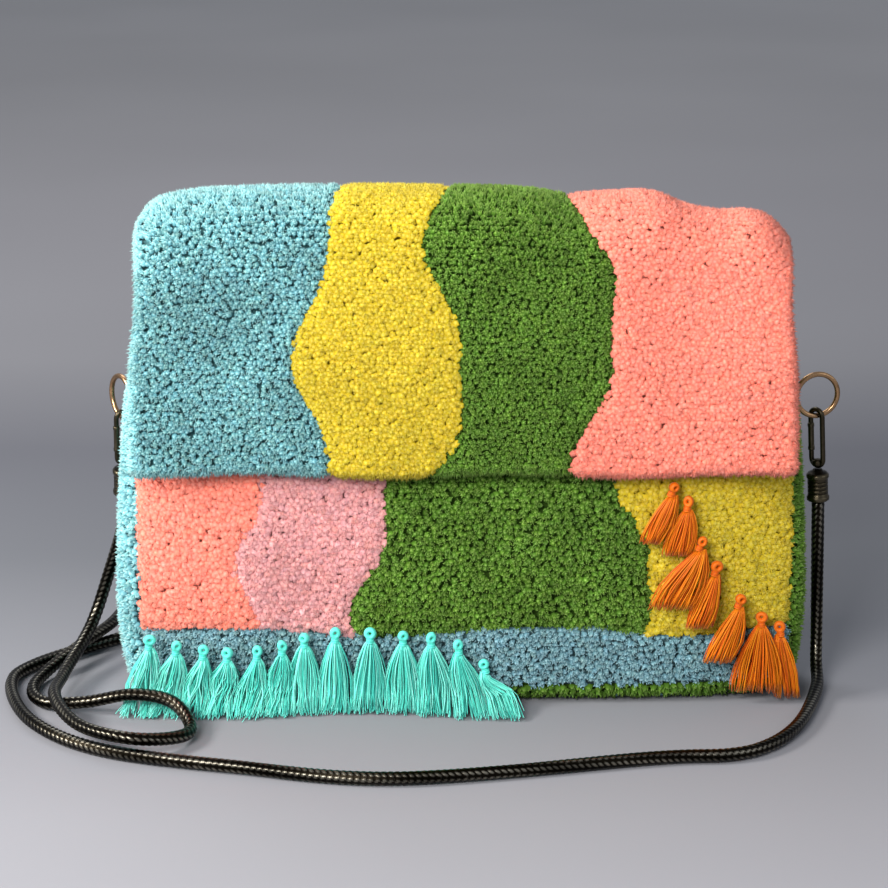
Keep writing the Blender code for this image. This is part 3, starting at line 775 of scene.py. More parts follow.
def make_ferrule(side, fitting, finish):
    """A turned barrel with two lips, a grooved waist and a domed cap."""
    way = hang_way(fitting)
    top = hook_top(fitting) + way * (HOOK_LENGTH + HOOK_WIRE + GAP)
    lip, waist, length = FERRULE_RADIUS, FERRULE_RADIUS - 0.0005, FERRULE_LENGTH
    groove = waist - 0.00035
    profile = [
        # radius, height
        (0.0008, 0.0), (0.0021, -0.0001), (0.0025, -0.0010), (0.0040, -0.0015), (0.0048, -0.0021),
        (lip, -0.0027), (lip, -0.0040), (0.0049, -0.0044), (waist, -0.0049),
    ]
    for step in range(4):
        level = -(0.0056 + 0.0019 * step)
        profile += [(waist, level), (groove, level - 0.0002), (groove, level - 0.0004), (waist, level - 0.0006)]
    profile += [(waist, -(length - 0.0026)), (lip, -(length - 0.0019)), (lip, -(length - 0.0005)),
                (lip - 0.0006, -length), (0.0034, -length)]
    points, faces, attribute = lathe(profile, 40, hung(top, way), (0.6, 0.5, 0, 1))
    radius = np.linalg.norm(np.cross(points - np.array(top), np.array(way)), axis=1)
    # Painted shade in the grooves and painted highlight on the lips, from each point's radius.
    attribute[:, 0] = np.clip((radius - groove + 0.0002) / (lip - groove), 0, 1)
    barrel = (points, faces, attribute)
    return place_parts(f"ferrule_{side}_barrel", [barrel], finish, [f"ferrule_{side}"])


# The surfaces that carry the pile.


def ridge_drop(x):
    return TOP_HEIGHT - smoothed(x, RIDGE_ROWS, 1)


FLAP_LINE = catmull(FLAP_ROWS, 16)
FLAP_ALONG = unit(np.gradient(FLAP_LINE, axis=0))
FLAP_OUTSIDE = FLAP_LINE + FLAP_THICKNESS / 2 * np.stack([FLAP_ALONG[:, 1], -FLAP_ALONG[:, 0]], axis=1)
FLAP_WALKED = walked_along(FLAP_OUTSIDE)
FLAP_LENGTH = float(FLAP_WALKED[-1])
FLAP_WIDTH = 0.3015


def flap_middle(share, walked):
    """The flap's middle surface: share across from the left, walked from the rear seam towards the hem."""
    y = np.interp(walked, FLAP_WALKED, FLAP_LINE[:, 0])
    fall = np.interp(walked, FLAP_WALKED, FLAP_LINE[:, 1])
    left, right = smoothed(fall, FLAP_WIDTHS, 1), smoothed(fall, FLAP_WIDTHS, 2)
    x = left + (right - left) * share
    x = x * (1 - FLAP_REAR_TAPER * eased(y / FLAP_ROWS[0][0]))
    lift = 1 - eased(fall / RIDGE_FADE)
    wave = HEM_WAVE * np.sin(58 * x + 0.6) * eased((fall - 0.08) / 0.04)
    billow = BILLOW * np.sin(36 * x + 25 * fall) * eased(fall / 0.03)
    ridge = TOP_HEIGHT - FLAP_THICKNESS / 2
    narrowing = (1 - np.minimum(np.abs(x) / POUCH_ROWS[-1][1], 0.995) ** BACK_POWER) ** (1 / BACK_POWER)
    y = np.where(y > 0, y * narrowing, y)
    return np.stack([x, y - billow, ridge - fall - ridge_drop(x) * lift + wave], axis=-1)


def surface_frame(surface, first, second, first_step, second_step):
    """Point, normal and the two unit directions of a surface."""
    point = surface(first, second)
    first_way = unit(surface(first + first_step, second) - surface(first - first_step, second))
    second_way = unit(surface(first, second + second_step) - surface(first, second - second_step))
    return point, unit(np.cross(second_way, first_way)), first_way, second_way


def flap_frame(share, walked):
    """The flap's middle, outward normal, way to the right and way down at each place."""
    return surface_frame(flap_middle, share, walked, *FLAP_STEPS)


def swell(x, z):
    return 0.0007 * np.sin(41 * x + 1.1) * np.sin(33 * z + 0.4) + 0.0004 * np.sin(97 * x - 31 * z)


SECTION_ANGLES = np.linspace(-math.pi, math.pi, 1441)
SECTION_SHARES = np.linspace(0, 1, 961)
MERIDIAN_BEND = BOTTOM_RADIUS * math.pi / 2
MERIDIAN_LENGTH = MERIDIAN_BEND + RIM_HEIGHT - BOTTOM_RADIUS
MERIDIAN_LEVELS = np.linspace(0, MERIDIAN_LENGTH, 141)


def section_outline(half_width, half_depth):
    """The soft box's outline from the middle of the left side, by the front and right side, to the back."""
    across, along = np.cos(SECTION_ANGLES), np.sin(SECTION_ANGLES)
    power = np.where(along > 0, 2 / BACK_POWER, 2 / FRONT_POWER)
    x = half_width * np.sign(across) * np.abs(across) ** power
    y = half_depth * np.sign(along) * np.abs(along) ** power
    outline = np.stack([x, y], axis=1)
    walked = walked_along(outline)
    return (*read_at(SECTION_SHARES * walked[-1], walked, outline).T, walked[-1])


def pouch_table():
    """The pouch's outside at each meridian level and share of the way round, and the longest way round."""
    rows, lengths = [], []
    for walked in MERIDIAN_LEVELS:
        turn = min(walked / BOTTOM_RADIUS, math.pi / 2)
        level = BOTTOM_RADIUS * (1 - math.cos(turn)) + max(walked - MERIDIAN_BEND, 0)
        inset = BOTTOM_RADIUS * (1 - math.sin(turn))
        half_width = float(smoothed(level, POUCH_ROWS, 1)) - inset
        half_depth = float(smoothed(level, POUCH_ROWS, 2)) - inset
        x, y, length = section_outline(half_width, half_depth)
        drop = ridge_drop(x) * eased((level - 0.12) / (RIM_HEIGHT - 0.12))
        y = y * (1 + swell(x, level) / half_depth * (level > BOTTOM_RADIUS))
        rows.append(np.stack([x, y, level - drop], axis=1))
        lengths.append(length)
    return np.array(rows), float(max(lengths))


POUCH_TABLE, POUCH_ROUND = pouch_table()


def pouch_outside(share, walked):
    """The pouch's outside at a share of the way round and a distance up from the bottom's edge."""
    row = np.clip(walked / MERIDIAN_LENGTH, 0, 1) * (len(MERIDIAN_LEVELS) - 1)
    column = (share % 1.0) * (len(SECTION_SHARES) - 1)
    low_row = np.minimum(row.astype(int), len(MERIDIAN_LEVELS) - 2)
    low_column = np.minimum(column.astype(int), len(SECTION_SHARES) - 2)
    up, over = (row - low_row)[..., None], (column - low_column)[..., None]
    near = POUCH_TABLE[low_row, low_column] * (1 - over) + POUCH_TABLE[low_row, low_column + 1] * over
    far = POUCH_TABLE[low_row + 1, low_column] * (1 - over) + POUCH_TABLE[low_row + 1, low_column + 1] * over
    return near * (1 - up) + far * up


def pouch_frame(share, walked):
    """The pouch's outside, outward normal, way round and way up at each place."""
    point, inward, over, up = surface_frame(pouch_outside, share, walked, *POUCH_STEPS)
    return point, -inward, over, up


def front_depth(x, z):
    half_width, half_depth = smoothed(z, POUCH_ROWS, 1), smoothed(z, POUCH_ROWS, 2)
    share = np.minimum(np.abs(x) / half_width, 0.999)
    return float(half_depth * (1 - share**FRONT_POWER) ** (1 / FRONT_POWER))


def foot_edge(x):
    """The height of the wavy upper edge of the band along the front's foot."""
    return FOOT_BAND_HEIGHT + FOOT_BAND_SWING * np.sin(FOOT_BAND_WAVES * x)


def seam_distance(x, y, z):
    """How far inside the front panel's outline a place is: negative on the back panel."""
    return np.minimum.reduce([x - SEAM_LEFT_X, SEAM_RIGHT_X - x, z - SEAM_BOTTOM_Z, SEAM_DEPTH_Y - y])


def band_x(x, y, on_front):
    """Where a place is among the bands: the back's go on outwards on its strips beside the front."""
    return x if on_front else x + np.where(y < 0, np.sign(x) * SIDE_STRIP_SHIFT, 0)


def band_at(bands, x, height):
    """Each place's band, how far it is from the nearest band's edge, and 1 where that edge is towards +x."""
    index = np.zeros(len(x), int)
    nearest = np.full(len(x), 1.0)
    toward = np.zeros(len(x))
    for _, _, edge_x, swing, wavelength, phase in bands[:-1]:
        edge = edge_x + swing * np.sin(2 * math.pi * height / wavelength + phase)
        edge += 0.3 * swing * np.sin(2 * math.pi * height / (wavelength * 0.43) + 2 * phase)
        slope = 2 * math.pi * swing / wavelength * np.cos(2 * math.pi * height / wavelength + phase)
        distance = (x - edge) / np.sqrt(1 + slope**2)
        index += distance > 0
        closer = np.abs(distance) < nearest
        nearest = np.where(closer, np.abs(distance), nearest)
        toward = np.where(closer, -np.sign(distance), toward)
    return index, nearest, toward


def in_band(bands, band, x, height, pitch):
    """Whether each place is in a band or just over its edge, how far the nearest edge is, and which way."""
    index, nearest, toward = band_at(bands, x, height)
    left = band_at(bands, x - 2 * EDGE_OVERLAP * pitch, height)[0] == band
    right = band_at(bands, x + 2 * EDGE_OVERLAP * pitch, height)[0] == band
    return (index == band) | (nearest < pitch * EDGE_OVERLAP) & (left | right), nearest, toward


# Pile.


def hex_points(low, high, pitch):
    """Points in a rectangle on a jittered triangular grid."""
    rows = np.arange(low[1], high[1], pitch * math.sqrt(3) / 2)
    columns = np.arange(low[0], high[0] + pitch, pitch)
    grid = np.stack(np.meshgrid(columns, rows), axis=-1)
    grid[1::2, :, 0] += pitch / 2
    grid = grid.reshape(-1, 2)
    grid += rng.uniform(-GRID_JITTER, GRID_JITTER, grid.shape) * pitch
    return grid


def tufts(tips, axes, radii, lengths, sides, rings, tones):
    """Tufts as (points, faces, attribute): each a stem that widens to a domed, lobed end."""
    count, size = len(tips), len(rings) * sides + 1
    helper = np.where(np.abs(axes[:, 2:3]) < 0.9, np.array([[0, 0, 1.0]]), np.array([[1.0, 0, 0]]))
    first = unit(np.cross(axes, helper))
    second = np.cross(axes, first)
    spin = rng.uniform(0, 2 * math.pi, count)
    lobes = rng.uniform(0.05, 0.16, count)
    angles = turns(sides)[None] + spin[:, None]
    uneven = 1 + lobes[:, None] * np.sin(angles * 2 + 3.1 * spin[:, None])
    points = np.empty((count, size, 3))
    attribute = np.ones((count, size, 4))
    for index, (share, bulge, width, value) in enumerate(rings):
        centres = tips - axes * (lengths * share + radii * bulge)[:, None]
        ring = slice(index * sides, (index + 1) * sides)
        points[:, ring] = rings_round(centres, (radii * width)[:, None] * uneven, angles, first, second)
        # The height value paints shade low on the tuft and light at its end.
        attribute[:, ring, 0] = value
    points[:, -1] = tips
    lumps = rng.normal(0, 1, points[:, sides:].shape) * (radii * LUMPS)[:, None, None]
    points[:, sides:] += np.clip(lumps, -LUMP_LIMIT, LUMP_LIMIT)
    attribute[:, :, 1:3] = tones[:, None]
    top = np.arange(sides) + (len(rings) - 1) * sides
    fan = np.stack([top, np.roll(top, -1), np.full(sides, size - 1)], axis=1)
    starts = (np.arange(count) * size)[:, None, None]
    walls = grid_faces(len(rings), sides, closed=True)
    faces = [(face[None] + starts).reshape(-1, face.shape[1]) for face in (walls, fan)]
    return points.reshape(-1, 3), faces, attribute.reshape(-1, 4)


def fuzz(tips, axes, radii, tones, each, reach, width, spread):
    """The yarn ends that stand close together on each tuft, as (points, faces, attribute)."""
    of_tufts = (tips, axes, radii, tones, reach)
    tips, axes, radii, tones, reach = (np.repeat(values, each, axis=0) for values in of_tufts)
    count = len(tips)
    aside = rng.normal(0, 1, (count, 3))
    aside = unit(aside - axes * np.sum(aside * axes, axis=1, keepdims=True))
    far = np.sqrt(rng.uniform(0.0, 1.0, (count, 1)))
    feet = tips + aside * far * spread * radii[:, None] - axes * FIBRE_DEPTH
    ways = unit(axes + aside * far * FIBRE_SPLAY + rng.normal(0, FIBRE_LEAN, (count, 3)))
    first = unit(np.cross(ways, rng.normal(0, 1, (count, 3))))
    second = np.cross(ways, first)
    points = np.empty((count, 4, 3))
    for corner in range(3):
        turn = 2 * math.pi * corner / 3
        points[:, corner] = feet + width * (math.cos(turn) * first + math.sin(turn) * second)
    sink = far[:, 0] ** 2 * FIBRE_DOME
    points[:, 3] = feet + ways * (FIBRE_DEPTH - sink + reach * rng.uniform(-0.5, 1.0, count))[:, None]
    points[:, :, 2] = np.maximum(points[:, :, 2], 0.0003)
    attribute = np.ones((count, 4, 4))
    # Fibre feet take painted shade from the ramp, their ends painted light.
    attribute[:, :3, 0] = FIBRE_FOOT_SHADE
    attribute[:, :, 1:3] = tones[:, None]
    faces = np.array([[0, 1, 3], [1, 2, 3], [2, 0, 3]])[None] + (np.arange(count) * 4)[:, None, None]
    return points.reshape(-1, 3), [faces.reshape(-1, 3)], attribute.reshape(-1, 4)


def pile_piece(name, colour, tips, axes, pitch, lengths, sides, rings, fibres, reach=STRAY):
    """One piece of pile in one colour."""
    count, look = len(tips), WOOLS[colour]
    radii = pitch * rng.uniform(*TUFT_RADII, count)
    tones = np.clip(rng.normal(0.5, 0.2, (count, 2)), 0, 1)
    axes = unit(axes + rng.normal(0, TUFT_TILT, (count, 3)))
    tips = tips + axes * np.clip(rng.normal(0, TIP_JITTER, (count, 1)), -0.0005, 0.0003)
    low = look["low"] if fibres > 2 else 0.0
    if rings is TUFT_FINE and look["close"]:
        rings = TUFT_CLOSE
    parts = [tufts(tips - axes * low, axes, radii, lengths, sides, rings, tones)]
    if fibres:
        reach = np.broadcast_to(reach, count)
        parts.append(fuzz(tips, axes, radii, tones, fibres, reach, FIBRE_SHARE * pitch, look["spread"]))
    return place_parts(name, parts, WOOL[colour])


def groove_factor(distance):
    return 1 - eased(distance / GROOVE_WIDTH)


def flap_outside(share, walked):
    middle, normal, _, _ = flap_frame(share, walked)
    return middle + normal * FLAP_THICKNESS / 2


def flap_stretch(places):
    """How much larger than its flat size the flap's outside is at each place, most at its dropping corners."""
    share = np.clip(places[:, 0] / FLAP_WIDTH, 0.005, 0.995)
    walked = np.clip(places[:, 1], 0.001, FLAP_LENGTH - 0.001)
    over = (flap_outside(share + 0.004, walked) - flap_outside(share - 0.004, walked)) / (0.008 * FLAP_WIDTH)
    down = (flap_outside(share, walked + 0.001) - flap_outside(share, walked - 0.001)) / 0.002
    return np.linalg.norm(np.cross(over, down), axis=1)


def flap_pile():
    """The flap's tufts, in bands, rounding off over the hem and the sides."""
    made = []
    spare = EDGE_ROUND * (EDGE_TURN - 1)
    corners = ((-spare, 0.0), (FLAP_WIDTH + spare, FLAP_LENGTH + spare))
    for band, (colour, pitch, *_) in enumerate(FLAP_BANDS):
        places, more = hex_points(*corners, pitch), hex_points(*corners, pitch)
        more = more[rng.uniform(0.05, 1.0, len(more)) < flap_stretch(more) - 1]
        places = np.concatenate([places, more])
        kept, nearest, toward = in_band(
            FLAP_BANDS, band, (places[:, 0] / FLAP_WIDTH - 0.5) * FLAP_WIDTH, places[:, 1], pitch
        )
        inner = np.minimum(places, (FLAP_WIDTH - EDGE_ROUND, FLAP_LENGTH - EDGE_ROUND))
        inner[:, 0] = np.maximum(inner[:, 0], EDGE_ROUND)
        kept &= np.linalg.norm(places - inner, axis=1) < EDGE_ROUND * EDGE_TURN
        inner, beyond, nearest, toward = inner[kept], (places - inner)[kept], nearest[kept], toward[kept]
        reach = np.linalg.norm(beyond, axis=1)
        middle, normal, over, down = flap_frame(inner[:, 0] / FLAP_WIDTH, inner[:, 1])
        turn = reach / EDGE_ROUND
        outward = unit(over * beyond[:, :1] + down * beyond[:, 1:]) * np.sin(turn)[:, None]
        axes = unit(normal * np.cos(turn)[:, None] + outward)
        groove = groove_factor(nearest)
        sink = WOOLS[colour]["groove"] * groove
        tips = middle + normal * (FLAP_THICKNESS / 2 - EDGE_ROUND) + axes * EDGE_ROUND - axes * sink[:, None]
        axes = unit(axes + over * (GROOVE_LEAN * groove * toward)[:, None])
        lengths = np.where(reach > 0, EDGE_LENGTH, PILE_LENGTH) - sink * 0.5
        stray = np.where(reach > EDGE_ROUND * 0.6, EDGE_STRAY, STRAY)
        name = f"flap_pile_{colour}"
        made.append(pile_piece(name, colour, tips, axes, pitch, lengths, 5, TUFT_FINE, 7, stray))
    return made


class Spots:
    """Places on the pouch's outside: their points, frames, and how near the seam and the bands' edges are."""

    def __init__(self, **values):
        self.__dict__.update(values)

    def kept(self, mask):
        return Spots(**{name: values[mask] for name, values in vars(self).items()})


def pouch_spots(pitch):
    """Places all over the pouch's outside, with their frames."""
    places = hex_points((0, 0.0), (POUCH_ROUND - pitch, MERIDIAN_LENGTH), pitch)
    point, normal, over, up = pouch_frame(places[:, 0] / POUCH_ROUND, places[:, 1])
    return Spots(point=point, normal=normal, over=over, up=up, inside=seam_distance(*point.T))


def pouch_pile(name, bands, on_front):
    """One panel's tufts in bands, sinking and leaning towards the seam and the bands' edges."""
    parts = (VISIBLE_FRONT, HIDDEN_FRONT) if on_front else (WHOLE_BACK,)
    for band, (colour, pitch, *_) in enumerate(bands):
        for suffix, scale, lowest, highest, *tuft in parts:
            step = pitch * scale
            spots = pouch_spots(step)
            x, z = band_x(spots.point[:, 0], spots.point[:, 1], on_front), spots.point[:, 2]
            spots.inside = spots.inside * (1 if on_front else -1)
            spots.lean_down = np.zeros(len(x))
            kept, spots.nearest, spots.toward = in_band(bands, band, x, z, step)
            height = np.where(on_front & (np.abs(x) > OPEN_SIDE_X), np.minimum(z, HIDDEN_FRONT_Z), z)
            kept &= (spots.inside > step * SEAM_MARGIN) & (height > lowest) & (height <= highest)
            if on_front:
                above = z - foot_edge(x)
                kept &= above > -step * EDGE_OVERLAP
                spots.lean_down = groove_factor(np.abs(above))
            if kept.any():
                pouch_band(f"{name}_pile_{colour}{suffix}", colour, step, spots.kept(kept), *tuft)


def foot_band():
    """The slate band along the front's foot, behind the tassels."""
    spots = pouch_spots(FOOT_BAND_PITCH)
    below = foot_edge(spots.point[:, 0]) - spots.point[:, 2]
    spots.nearest, spots.toward = np.ones(len(below)), np.zeros(len(below))
    spots.lean_down = -groove_factor(below)
    kept = (spots.inside > FOOT_BAND_PITCH * FOOT_SEAM_MARGIN) & (below > -FOOT_BAND_PITCH * EDGE_OVERLAP)
    pouch_band("front_pile_slate", "slate", FOOT_BAND_PITCH, spots.kept(kept), 5, TUFT_FINE, 7)


def pouch_band(name, colour, pitch, spots, sides, rings, fibres):
    """One band of pile on the pouch, its tufts sinking and leaning at its edges."""
    groove = groove_factor(spots.nearest)
    sink = WOOLS[colour]["groove"] * np.maximum(groove, np.abs(spots.lean_down))
    sink += SEAM_GROOVE_DEPTH * groove_factor(spots.inside)
    axes = unit(
        spots.normal
        + spots.over * (GROOVE_LEAN * groove * spots.toward * np.sign(spots.over[:, 0]))[:, None]
        - spots.up * (GROOVE_LEAN * spots.lean_down)[:, None]
    )
    tips = spots.point - spots.normal * sink[:, None]
    tips[:, 2] = np.maximum(tips[:, 2], LOWEST_TIP)
    pile_piece(name, colour, tips, axes, pitch, PILE_LENGTH - sink * 0.5, sides, rings, fibres)


def bottom_pile(colour):
    """Low, pressed tufts under the back panel's flat bottom."""
    places = hex_points((-0.16, -0.034), (0.16, 0.034), BOTTOM_PITCH)
    half_width, half_depth = POUCH_ROWS[0][1] - BOTTOM_RADIUS, POUCH_ROWS[0][2] - BOTTOM_RADIUS
    power = np.where(places[:, 1] > 0, BACK_POWER, FRONT_POWER)
    level = (np.abs(places[:, 0]) / half_width) ** power + (np.abs(places[:, 1]) / half_depth) ** power
    places = places[level < 1]
    count = len(places)
    tips = np.concatenate([places, np.full((count, 1), 0.0005)], axis=1)
    axes = np.tile((0.0, 0.0, -1.0), (count, 1))
    radii = np.full(count, BOTTOM_PITCH * 0.58)
    tones = np.clip(rng.normal(0.45, 0.2, (count, 2)), 0, 1)
    low_tufts = tufts(tips, axes, radii, np.full(count, EDGE_LENGTH), 4, TUFT_COARSE, tones)
    place_parts("bottom_pile", [low_tufts], WOOL[colour])


# Backing cloth.


def shell_mesh(name, outside, inside, bands, kept):
    """A closed sheet between two like grids of points, its outer faces in their bands' materials."""
    rows, columns = outside.shape[:2]
    count = rows * columns
    points = np.concatenate([outside.reshape(-1, 3), inside.reshape(-1, 3)])
    outer = grid_faces(rows, columns)[kept]
    inner = outer[:, ::-1] + count
    edges = np.concatenate([outer[:, [0, 1]], outer[:, [1, 2]], outer[:, [2, 3]], outer[:, [3, 0]]])
    _, index, times = np.unique(np.sort(edges, axis=1), axis=0, return_inverse=True, return_counts=True)
    border = edges[times[index.reshape(-1)] == 1]
    rim = np.stack([border[:, 1], border[:, 0], border[:, 0] + count, border[:, 1] + count], axis=1)
    faces = np.concatenate([outer, inner, rim])
    used, renumbered = np.unique(faces, return_inverse=True)
    mesh = make_mesh(name, points[used], [renumbered.reshape(faces.shape)])
    slots = np.full(len(faces), bands.max() + 1, np.int32)
    slots[:len(outer)] = bands[kept]
    mesh.polygons.foreach_set("material_index", slots)
    return mesh


def cell_middles(grid):
    """The middles of a grid's cells, as one list."""
    return ((grid[:-1, :-1] + grid[1:, 1:]) / 2).reshape(-1, *grid.shape[2:])


def flap_backing(lining_finish):
    share, walked = np.meshgrid(np.linspace(0.988, 0.012, 111), np.linspace(0.0, FLAP_LENGTH - 0.0036, 44))
    middle, normal, _, _ = flap_frame(share, walked)
    outside = middle + normal * (FLAP_THICKNESS / 2 - BACKING_DEPTH)
    inside = middle - normal * (FLAP_THICKNESS / 2 - 0.0004)
    bands = band_at(FLAP_BANDS, cell_middles((share - 0.5) * FLAP_WIDTH), cell_middles(walked))[0]
    mesh = shell_mesh("flap_backing", outside, inside, bands, np.full(len(bands), True))
    # The backing carries no pile attribute, so its outer faces take each wool's darkest painted shade between
    # the tufts.
    finishes = [WOOL[row[0]] for row in FLAP_BANDS]
    return place("flap_backing", mesh, finishes + [lining_finish], ["flap"])


def pouch_backing(name, bands, on_front, lining_finish, node):
    bend = np.linspace(0, MERIDIAN_BEND, 6)[:-1]
    levels = np.concatenate([bend, np.linspace(MERIDIAN_BEND, MERIDIAN_LENGTH, 36)])
    point, normal, _, _ = pouch_frame(*np.meshgrid(np.linspace(0, 1, 201), levels))
    outside = point - normal * (BACKING_DEPTH - 0.0004)
    inside = point - normal * PANEL_THICKNESS
    outside[..., 2] = np.maximum(outside[..., 2], BACKING_DEPTH - 0.0004)
    x, y, z = cell_middles(point).T
    kept = (seam_distance(x, y, z) > 0) == on_front
    index = band_at(bands, band_x(x, y, on_front), z)[0]
    # Outer faces take each band wool's darkest painted shade between the tufts.
    finishes = [WOOL[row[0]] for row in bands]
    if on_front:
        index = np.where(z < foot_edge(x), len(bands), index)
        finishes.append(WOOL["slate"])
    mesh = shell_mesh(name, outside, inside, index, kept)
    place(name, mesh, finishes + [lining_finish], [node])


# Tassels.


def tassel_head(head, lean):
    """The tassel's head: a loop of thick thread over a wound neck."""
    turned = Matrix(lean.tolist()).to_4x4()
    wide, deep, tall, yaw, roll = rng.uniform((0.82, 1.45, 0.92, -0.5, -0.4), (1.12, 1.85, 1.12, 0.5, 0.4))
    upright = (
        turned @ Matrix.Rotation(yaw, 4, "Z") @ Matrix.Rotation(roll, 4, "Y")
        @ Matrix.Diagonal((wide, deep, tall, 1)) @ Matrix.Rotation(math.pi / 2, 4, "X")
    )
    loop_at = np.array((0, 0, 0.0002)) @ lean.T + head
    parts = [torus(loop_at, LOOP_RADIUS, LOOP_WIRE, upright, (0.88, 0.45, 0, 1), 20, 14, 7, 0.10)]
    for step in range(NECK_TURNS):
        neck_at = np.array((0, 0, NECK_TOP - NECK_STEP * step)) @ lean.T + head
        # Low tones darken the neck's wraps as painted shade; every other wrap is a little paler.
        tone = (0.80, 0.28 + 0.2 * (step % 2), 0, 1)
        parts.append(torus(neck_at, NECK_RADIUS, NECK_WIRE, turned, tone, 16, 5))
    return parts


def skirt(line, tangle):
    """A tassel's threads, close together in the neck, along a line of places, widths, depths and their ways."""
    parts = []
    order = np.arange(THREADS)
    radial = np.sqrt((order + 0.5) / THREADS)
    angle = order * GOLDEN_ANGLE + rng.uniform(0, 6.28)
    across, deep = radial * np.cos(angle), radial * np.sin(angle)
    across += rng.normal(0, 0.05, THREADS)
    lock = ((across + 1.2) / 2.4 * LOCKS).astype(int) % LOCKS
    lock_phase, lock_swing = rng.uniform(0, 6.28, LOCKS), rng.uniform(0.3, 1.0, LOCKS) * LOCK_SWING * tangle
    reach = rng.uniform(0.92, 1.02, THREADS) + 0.02 * np.sin(lock * 2.1)
    wander = rng.normal(0, 1, (THREADS, 2))
    loose = np.where(rng.uniform(0, 1, THREADS) < LOOSE_SHARE * tangle, 3.0, 1.0) * tangle
    tones = np.clip(rng.normal(0.55, 0.24, THREADS) + 0.10 * np.sin(lock * 1.7), 0, 1)
    fullness = rng.uniform(0.94, 1.20)
    marks = np.linspace(0, 1, len(line))
    radius = np.full(THREAD_POINTS, THREAD_RADIUS)
    radius[-1] = THREAD_RADIUS * 0.7
    for index in order:
        at = np.linspace(0, 1, THREAD_POINTS) * reach[index]
        rows = read_at(at, marks, line)
        swing = lock_swing[lock[index]] * np.sin(at * 6.0 + lock_phase[lock[index]])
        swing += 0.0004 * loose[index] * np.sin(at * 8.0 + wander[index, 0] * 3)
        path = rows[:, :3] + unit(rows[:, 5:]) * (rows[:, 4] * deep[index])[:, None]
        path[:, 0] += rows[:, 3] * fullness * across[index] + swing * at
        path[:, 1] += np.sin(at * 6.3 + wander[index, 1] * 3) * at * 0.0003 * loose[index]
        path[:, 2] = np.maximum(path[:, 2], THREAD_RADIUS)
        # Threads near the tassel's middle get a low height value, which paints shade on them.
        parts.append(tube(path, radius, THREAD_SIDES, (0.45 + 0.55 * radial[index], tones[index], 0, 1)))
    return parts


def make_tassel(colour, number, head, stations, tangle, finish):
    """A tassel whose skirt passes its stations, each a place, half width, half depth and the depth's way."""
    line = catmull([(*spot, width, depth, *way) for spot, width, depth, way in stations], 4)
    line[:, 5:] = unit(line[:, 5:])
    lean_way = unit(line[0, :3] - line[4, :3])
    across = unit(np.cross(BACKWARDS, lean_way))
    lean = np.stack([across, np.cross(lean_way, across), lean_way], axis=1)
    parts = tassel_head(head, lean) + skirt(line, tangle)
    name, node = f"{colour}_threads_{number}", f"tassel_{colour}_{number}"
    place_parts(name, parts, finish, [node])


def turquoise_tassels(finish):
    """The row whose skirts reach the floor and splay on it."""
    feet = [row[2] for row in TURQUOISE_ROWS]
    y = -max(front_depth(x, 0.03) for x in (-0.12, 0.0)) - TASSEL_CLEARANCE - HEAD_DEPTH / 2
    for index, (head_x, head_z, foot_x, foot_y) in enumerate(TURQUOISE_ROWS):
        room = min(abs(foot_x - other) for other in feet if other != foot_x)
        spread = min(room / 2 + 0.0006, 0.0080)
        head = np.array((head_x, y, head_z))
        shift = foot_x - head_x
        stations = [
            (head + (0, 0, HEAD_BASE + 0.0010), *SKIRT_TOP),
            (head + (shift * 0.10, -0.0003, HEAD_BASE - 0.0030), 0.0037, 0.0024, BACKWARDS),
            (np.array((head_x + shift * 0.45, y, head_z * 0.50)), spread * 0.92, 0.0028, BACKWARDS),
            (np.array((head_x + shift * 0.75, y - 0.0018, 0.0075)), spread * 1.00, 0.0026, (0, 0.6, -0.8)),
            (np.array((foot_x, foot_y, 0.0018)), spread * 1.06, 0.0017, (0, 0, -1)),
        ]
        tangle = TANGLE if index < TANGLED else 1.0
        make_tassel("turquoise", f"{index + 1:02d}", head, stations, tangle, finish)


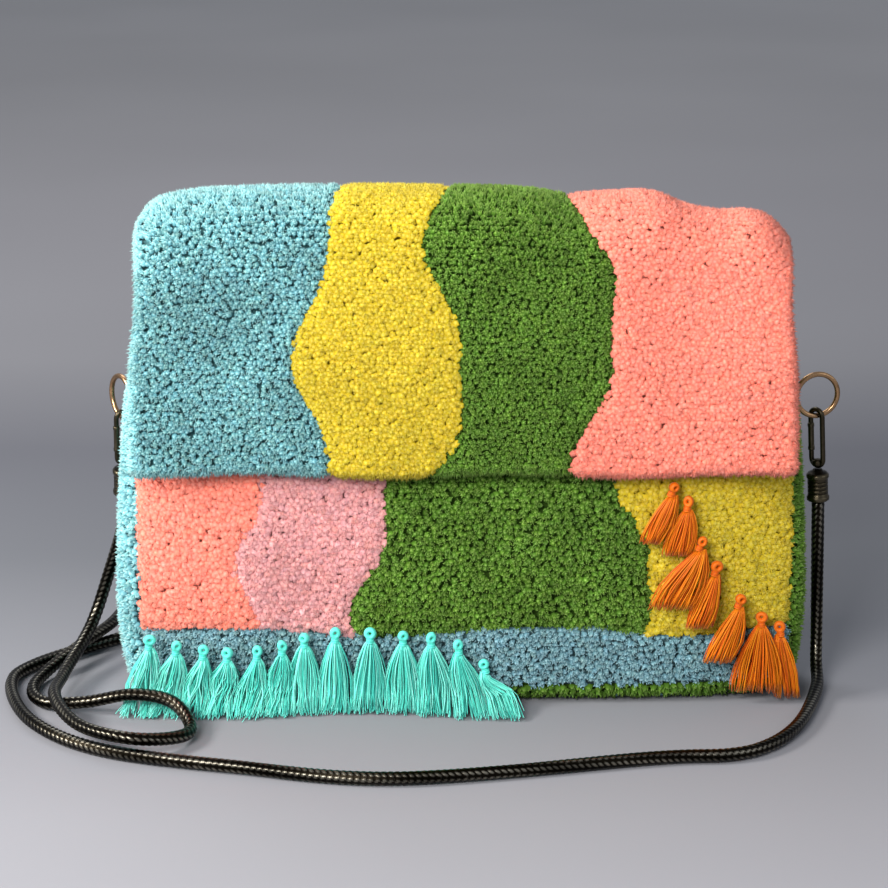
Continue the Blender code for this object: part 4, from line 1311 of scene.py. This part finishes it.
def orange_tassels(finish):
    """The row that comes down slantwise from under the flap."""
    for index, (head_x, head_z, foot_x, foot_z, spread) in enumerate(ORANGE_ROWS):
        depth = max(
            front_depth(head_x - HEAD_WIDTH / 2, head_z),
            front_depth(foot_x - spread, max(foot_z, BOTTOM_RADIUS)),
        )
        y = -depth - TASSEL_CLEARANCE - HEAD_DEPTH / 2
        head = np.array((head_x, y, head_z))
        root = head + (0, 0, HEAD_BASE + 0.0010)
        foot = np.array((foot_x, y, foot_z))
        stations = [
            (root, *SKIRT_TOP),
            (root * 0.84 + foot * 0.16 - (0, 0.0004, 0), 0.0024 + spread * 0.24, 0.0023, BACKWARDS),
            (root * 0.50 + foot * 0.50 - (0, 0.0008, 0), 0.0022 + spread * 0.80, 0.0027, BACKWARDS),
            (root * 0.20 + foot * 0.80 - (0, 0.0006, 0), 0.0014 + spread * 1.02, 0.0025, BACKWARDS),
            (foot, 0.0006 + spread * 1.08, 0.0022, BACKWARDS),
        ]
        make_tassel("orange", index + 1, head, stations, 1.0, finish)


make_camera()
strap_finish = metal_with_painted_shade("gunmetal_braid", (166, 160, 144), (20, 17, 12), 0.25, 0.92)
clasp_finish = metal_with_painted_shade("gunmetal_clasp", (96, 88, 70), (30, 25, 18), 0.28, 0.80)
ring_finish = metal_with_painted_shade("bronze_ring", (200, 160, 118), (96, 64, 42), 0.24, 0.75)
strap_line = resampled(catmull(STRAP_ROUTE, 24), 400)
braid = braided_tube(strap_line, STRAP_DIAMETER / 2)
strap = place_parts("strap_braid", [braid], strap_finish, ["strap"])
for side, fitting in FITTINGS.items():
    make_ring(side, fitting, ring_finish)
    make_hook(side, fitting, clasp_finish)
    make_ferrule(side, fitting, clasp_finish)

make_floor()
make_lights()
WOOL = {name: wool(name, look) for name, look in WOOLS.items()}
lining = woven("cream_lining", (206, 196, 176), 0.0009)
backing = flap_backing(lining)
flap_tufts = flap_pile()
pouch_backing("front_backing", FRONT_BANDS, True, lining, "front_panel")
pouch_backing("back_backing", BACK_BANDS, False, lining, "back_panel")
pouch_pile("front", FRONT_BANDS, True)
foot_band()
pouch_pile("back", BACK_BANDS, False)
bottom_pile("blue")
turquoise_tassels(cotton("turquoise_cotton", (150, 252, 236), (84, 228, 208), (20, 150, 138)))
orange_tassels(cotton("orange_cotton", (246, 150, 14), (224, 98, 0), (170, 62, 0)))
